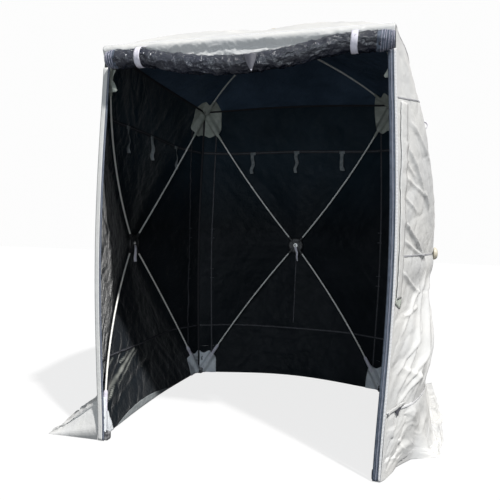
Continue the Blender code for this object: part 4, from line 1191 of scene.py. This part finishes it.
# Skirts: strips of the same cloth sewn to the walls above the hem, which fall and spread on the ground to
# keep wind out. They are crumpled, gathered at the front right foot and folded down at the front left one.
SEAMS = {"left": 0.200, "back": 0.200, "right": 0.300}
SKIRT = 0.42
for name, seam_z in SEAMS.items():
    panel = PANELS[name]
    across, down = np.meshgrid(np.linspace(-1, 1, 221), np.linspace(0, 1, 61))
    top = panel.cloth(across * HALF, np.full_like(across, seam_z - 1.0), 0.0030)
    top_out = (top - panel.centre) @ panel.out
    reach = 0.300 + 0.060 * (1 - across ** 2)
    front = np.clip(-across * panel.across[1] - 0.42, 0, None) / 0.58
    if name == "right":
        reach = np.interp(HALF * (1 + across), [0.0, 0.17, 0.29, 0.37, 0.60, 0.90],
                          [0.010, 0.080, 0.145, 0.285, 0.325, 0.345])
    share = down ** 1.1
    rise = np.interp(share, [0.0, 0.10, 0.26, 0.46, 0.70, 1.0], [1.0, 0.625, 0.300, 0.080, 0.0, 0.0])
    smooth = np.clip(1 - share / 0.66, 0, 1) ** 2.2
    rise = 0.5 * rise + 0.5 * smooth
    if name != "back":
        rise = rise + (np.clip(1 - share, 0, 1) ** 1.15 - rise) * np.clip(front * 1.8, 0, 1)
    height = 0.002 + (seam_z - 0.002) * rise
    out = top_out + (reach - 0.006 - top_out) * share
    along = (top - panel.centre) @ panel.across
    mitred = (name == "back") | (across * panel.across[1] > 0)
    spread = across * np.clip(out - top_out, 0, None) * np.abs(across) - across * 0.006
    along = along + np.where(mitred, spread, 0)
    seed = panel.seed
    loose = np.clip(down / 0.10, 0, 1) * (0.75 if name == "right" else 1.0)
    loose = loose * np.clip((1 - down) / 0.06 + 0.35, 0, 1)
    length = SKIRT * down
    bulge = 0.014 * np.clip(ripple(along + 0.3 * length, length, 0.085, 0.22, seed + 41), -0.4, 1)
    bulge = bulge + 0.010 * crease(along - 0.9 * length, length + 0.4 * along, 0.11, 0.09, seed + 42)
    bulge = bulge + 0.005 * crease(along + 0.7 * length, length, 0.060, 0.050, seed + 43)
    ahead = HALF * (1 - np.abs(np.where(front > 0, across, 0)))
    fan = np.arctan2(SKIRT - length, ahead + 0.02)
    gathers = 0.009 * np.sin(15 * fan + 2 * ripple(ahead, length, 0.2, 0.2, seed + 45))
    bulge = bulge + np.where(front > 0, gathers, 0) * (
        np.clip((SKIRT - length) / 0.15, 0, 1) * np.clip(front * 3, 0, 1))
    bulge = bulge * loose * np.clip(ahead / 0.05, 0, 1)
    steep = np.clip(rise * 2.2, 0, 1)
    out = out + bulge * steep
    height = np.maximum(height + bulge * (1 - steep), 0.0015)
    out = out + 0.010 * ripple(along, along * 0, 0.09, 1.0, seed + 46) * np.clip((down - 0.5) / 0.5, 0, 1) * (
        1 if name == "back" else np.clip((1 - np.abs(across)) / 0.05, 0, 1))
    points = (panel.centre + along[..., None] * panel.across + (height - 1.0)[..., None] * panel.up
              + out[..., None] * panel.out)
    if name == "left":
        fold = np.clip((-across * panel.across[1] - 0.955) / 0.045, 0, 1)
        points[..., 2] = 0.0015 + (points[..., 2] - 0.0015) * (1 - fold ** 2)
        points[..., 1] += 0.030 * (1 - fold) * (fold > 0) - 0.012 * fold * share
    skirt = grid_object(name + "_skirt_cloth", points, across * HALF, length, CLOTH)
    paint(skirt, white_cloth)
    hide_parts(name + "_skirt")
    follow(skirt, panel, lift=0.0030, tilt=14.0, at=seam_z)
    seam = seam_strip(name + "_skirt_hem_tape", panel, [(-0.69, seam_z - 0.996), (0.69, seam_z - 0.996)],
                      0.012, 0.0050)
    on_panel(seam, panel, white_seam, "white_fabric", lift=0.0065, tilt=14.0, at=seam_z)

# Outside, right wall: a storm flap behind the zip, a small reveal of its lining in the darker patch colour, a
# tie-out tab, a snap, and a dark grey sheet under the hem flap's end, painted shadow. The left wall's turned
# hem is here too.
panel = PANELS["right"]
flap = seam_strip("right_storm_flap", panel, [(-0.640, 0.68), (-0.642, 0.2), (-0.640, -0.19)],
                  0.062, 0.0062, 0.0018)
on_panel(flap, panel, white_cloth, "white_fabric", lift=0.0077)
# The reveal is painted in the darker patch colour, as painted shade.
reveal = seam_strip("right_flap_lining", panel, [(-0.672, -0.185), (-0.612, -0.215)],
                    0.046, 0.0040, 0.0014, 0.008)
on_panel(reveal, panel, shaded_patch_paint, "grey_fabric", lift=0.0055)
# Painted shadow: a thin dark grey sheet, with a jagged drop at its far end, lies under the hem flap where its
# shadow falls.
run = np.linspace(0, 1, 41)[:, None]
ragged = 0.007 + 0.040 * np.interp(run, [0, 0.55, 0.66, 0.76, 0.84, 1.0], [0, 0.05, 0.5, 1.0, 0.45, 0])
shadow_x, shadow_z = -0.694 + 0.120 * run, -0.699 + 0.022 * run - ragged * np.linspace(0, 1, 5)[None]
shadow_x = shadow_x + 0 * shadow_z
hem_flap_shadow = grid_object("right_open_stitching", panel.cloth(shadow_x, shadow_z, 0.0105), shadow_x, shadow_z, 0.0010)
on_panel(hem_flap_shadow, panel, dark_grey_cloth, "black_fabric", lift=0.0120, tilt=14.0, at=0.3)
hem_flap = seam_strip("right_hem_flap", panel, [(-0.694, -0.694), (-0.560, -0.672)],
                      0.018, 0.0130, 0.0012, 0.006)
on_panel(hem_flap, panel, white_cloth, "white_fabric", lift=0.0145, tilt=14.0, at=0.3)
hem_x = np.linspace(0.50, -0.21, 60)[:, None] + np.zeros((1, 7))
hem_high = 0.036 * np.sin(math.pi * np.clip((0.50 - hem_x) / 0.71, 0, 1)) ** 0.9
hem_z = -0.994 + (hem_high + 0.004) * np.linspace(0, 1, 7)[None]
turned_hem = grid_object("left_turned_hem", PANELS["left"].cloth(hem_x, hem_z, -0.0050), hem_x, hem_z, 0.0014)
on_panel(turned_hem, PANELS["left"], dark_webbing, "grey_fabric", lift=-0.0065)
# The waist seam is grey painted shade as well.
waist = join("right_waist_seam", [seam_strip("seam", panel, [(-0.60, 0.0), (-0.07, 0.0)], 0.008, 0.0020),
                                  seam_strip("seam", panel, [(0.07, 0.0), (0.69, 0.0)], 0.008, 0.0020)])
on_panel(waist, panel, seam_painted_shade, "white_fabric", lift=0.0035)
root = panel.cloth(-0.17, 0.668, 0.0015)
run = [root, root + panel.out * 0.018 + panel.up * 0.006, root + panel.out * 0.032 - panel.up * 0.010,
       root + panel.out * 0.022 - panel.up * 0.030, root - panel.up * 0.036]
tab = strap_along("right_tie_out_tab", smooth_path(run, 24), panel.across, 0.026, 0.0016)
on_panel(tab, panel, webbing, "webbing", lift=0.0030)
spot = panel.cloth(-0.34, -0.27, 0.0020)
snap = tube_along("right_snap", [spot, spot + panel.out * 0.003], 0.0045, 16)
on_panel(snap, panel, grey_plastic, "grey_plastic", lift=0.0035)

# Cloth as cut: each wall's and each skirt's flat size in metres, from its outline when laid out, and its
# area; the loop below only looks up each skirt. The walls and roof are held taut by the rods, the header
# hangs, the door is rolled up and the skirts lie on the ground.
CUTS = {"left": ((1.47, 2.08), 3.03, (1.70, 0.42), 0.61), "back": ((1.49, 2.09), 3.07, (1.98, 0.42), 0.59),
        "right": ((1.49, 2.09), 3.08, (1.73, 0.42), 0.60)}
for name, (wall_cut, wall_area, skirt_cut, skirt_area) in CUTS.items():
    skirt = bpy.data.objects[name + "_skirt_cloth"]

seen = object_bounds()
[list(corner) for corner in cad_box]
[list(corner) for corner in seen]
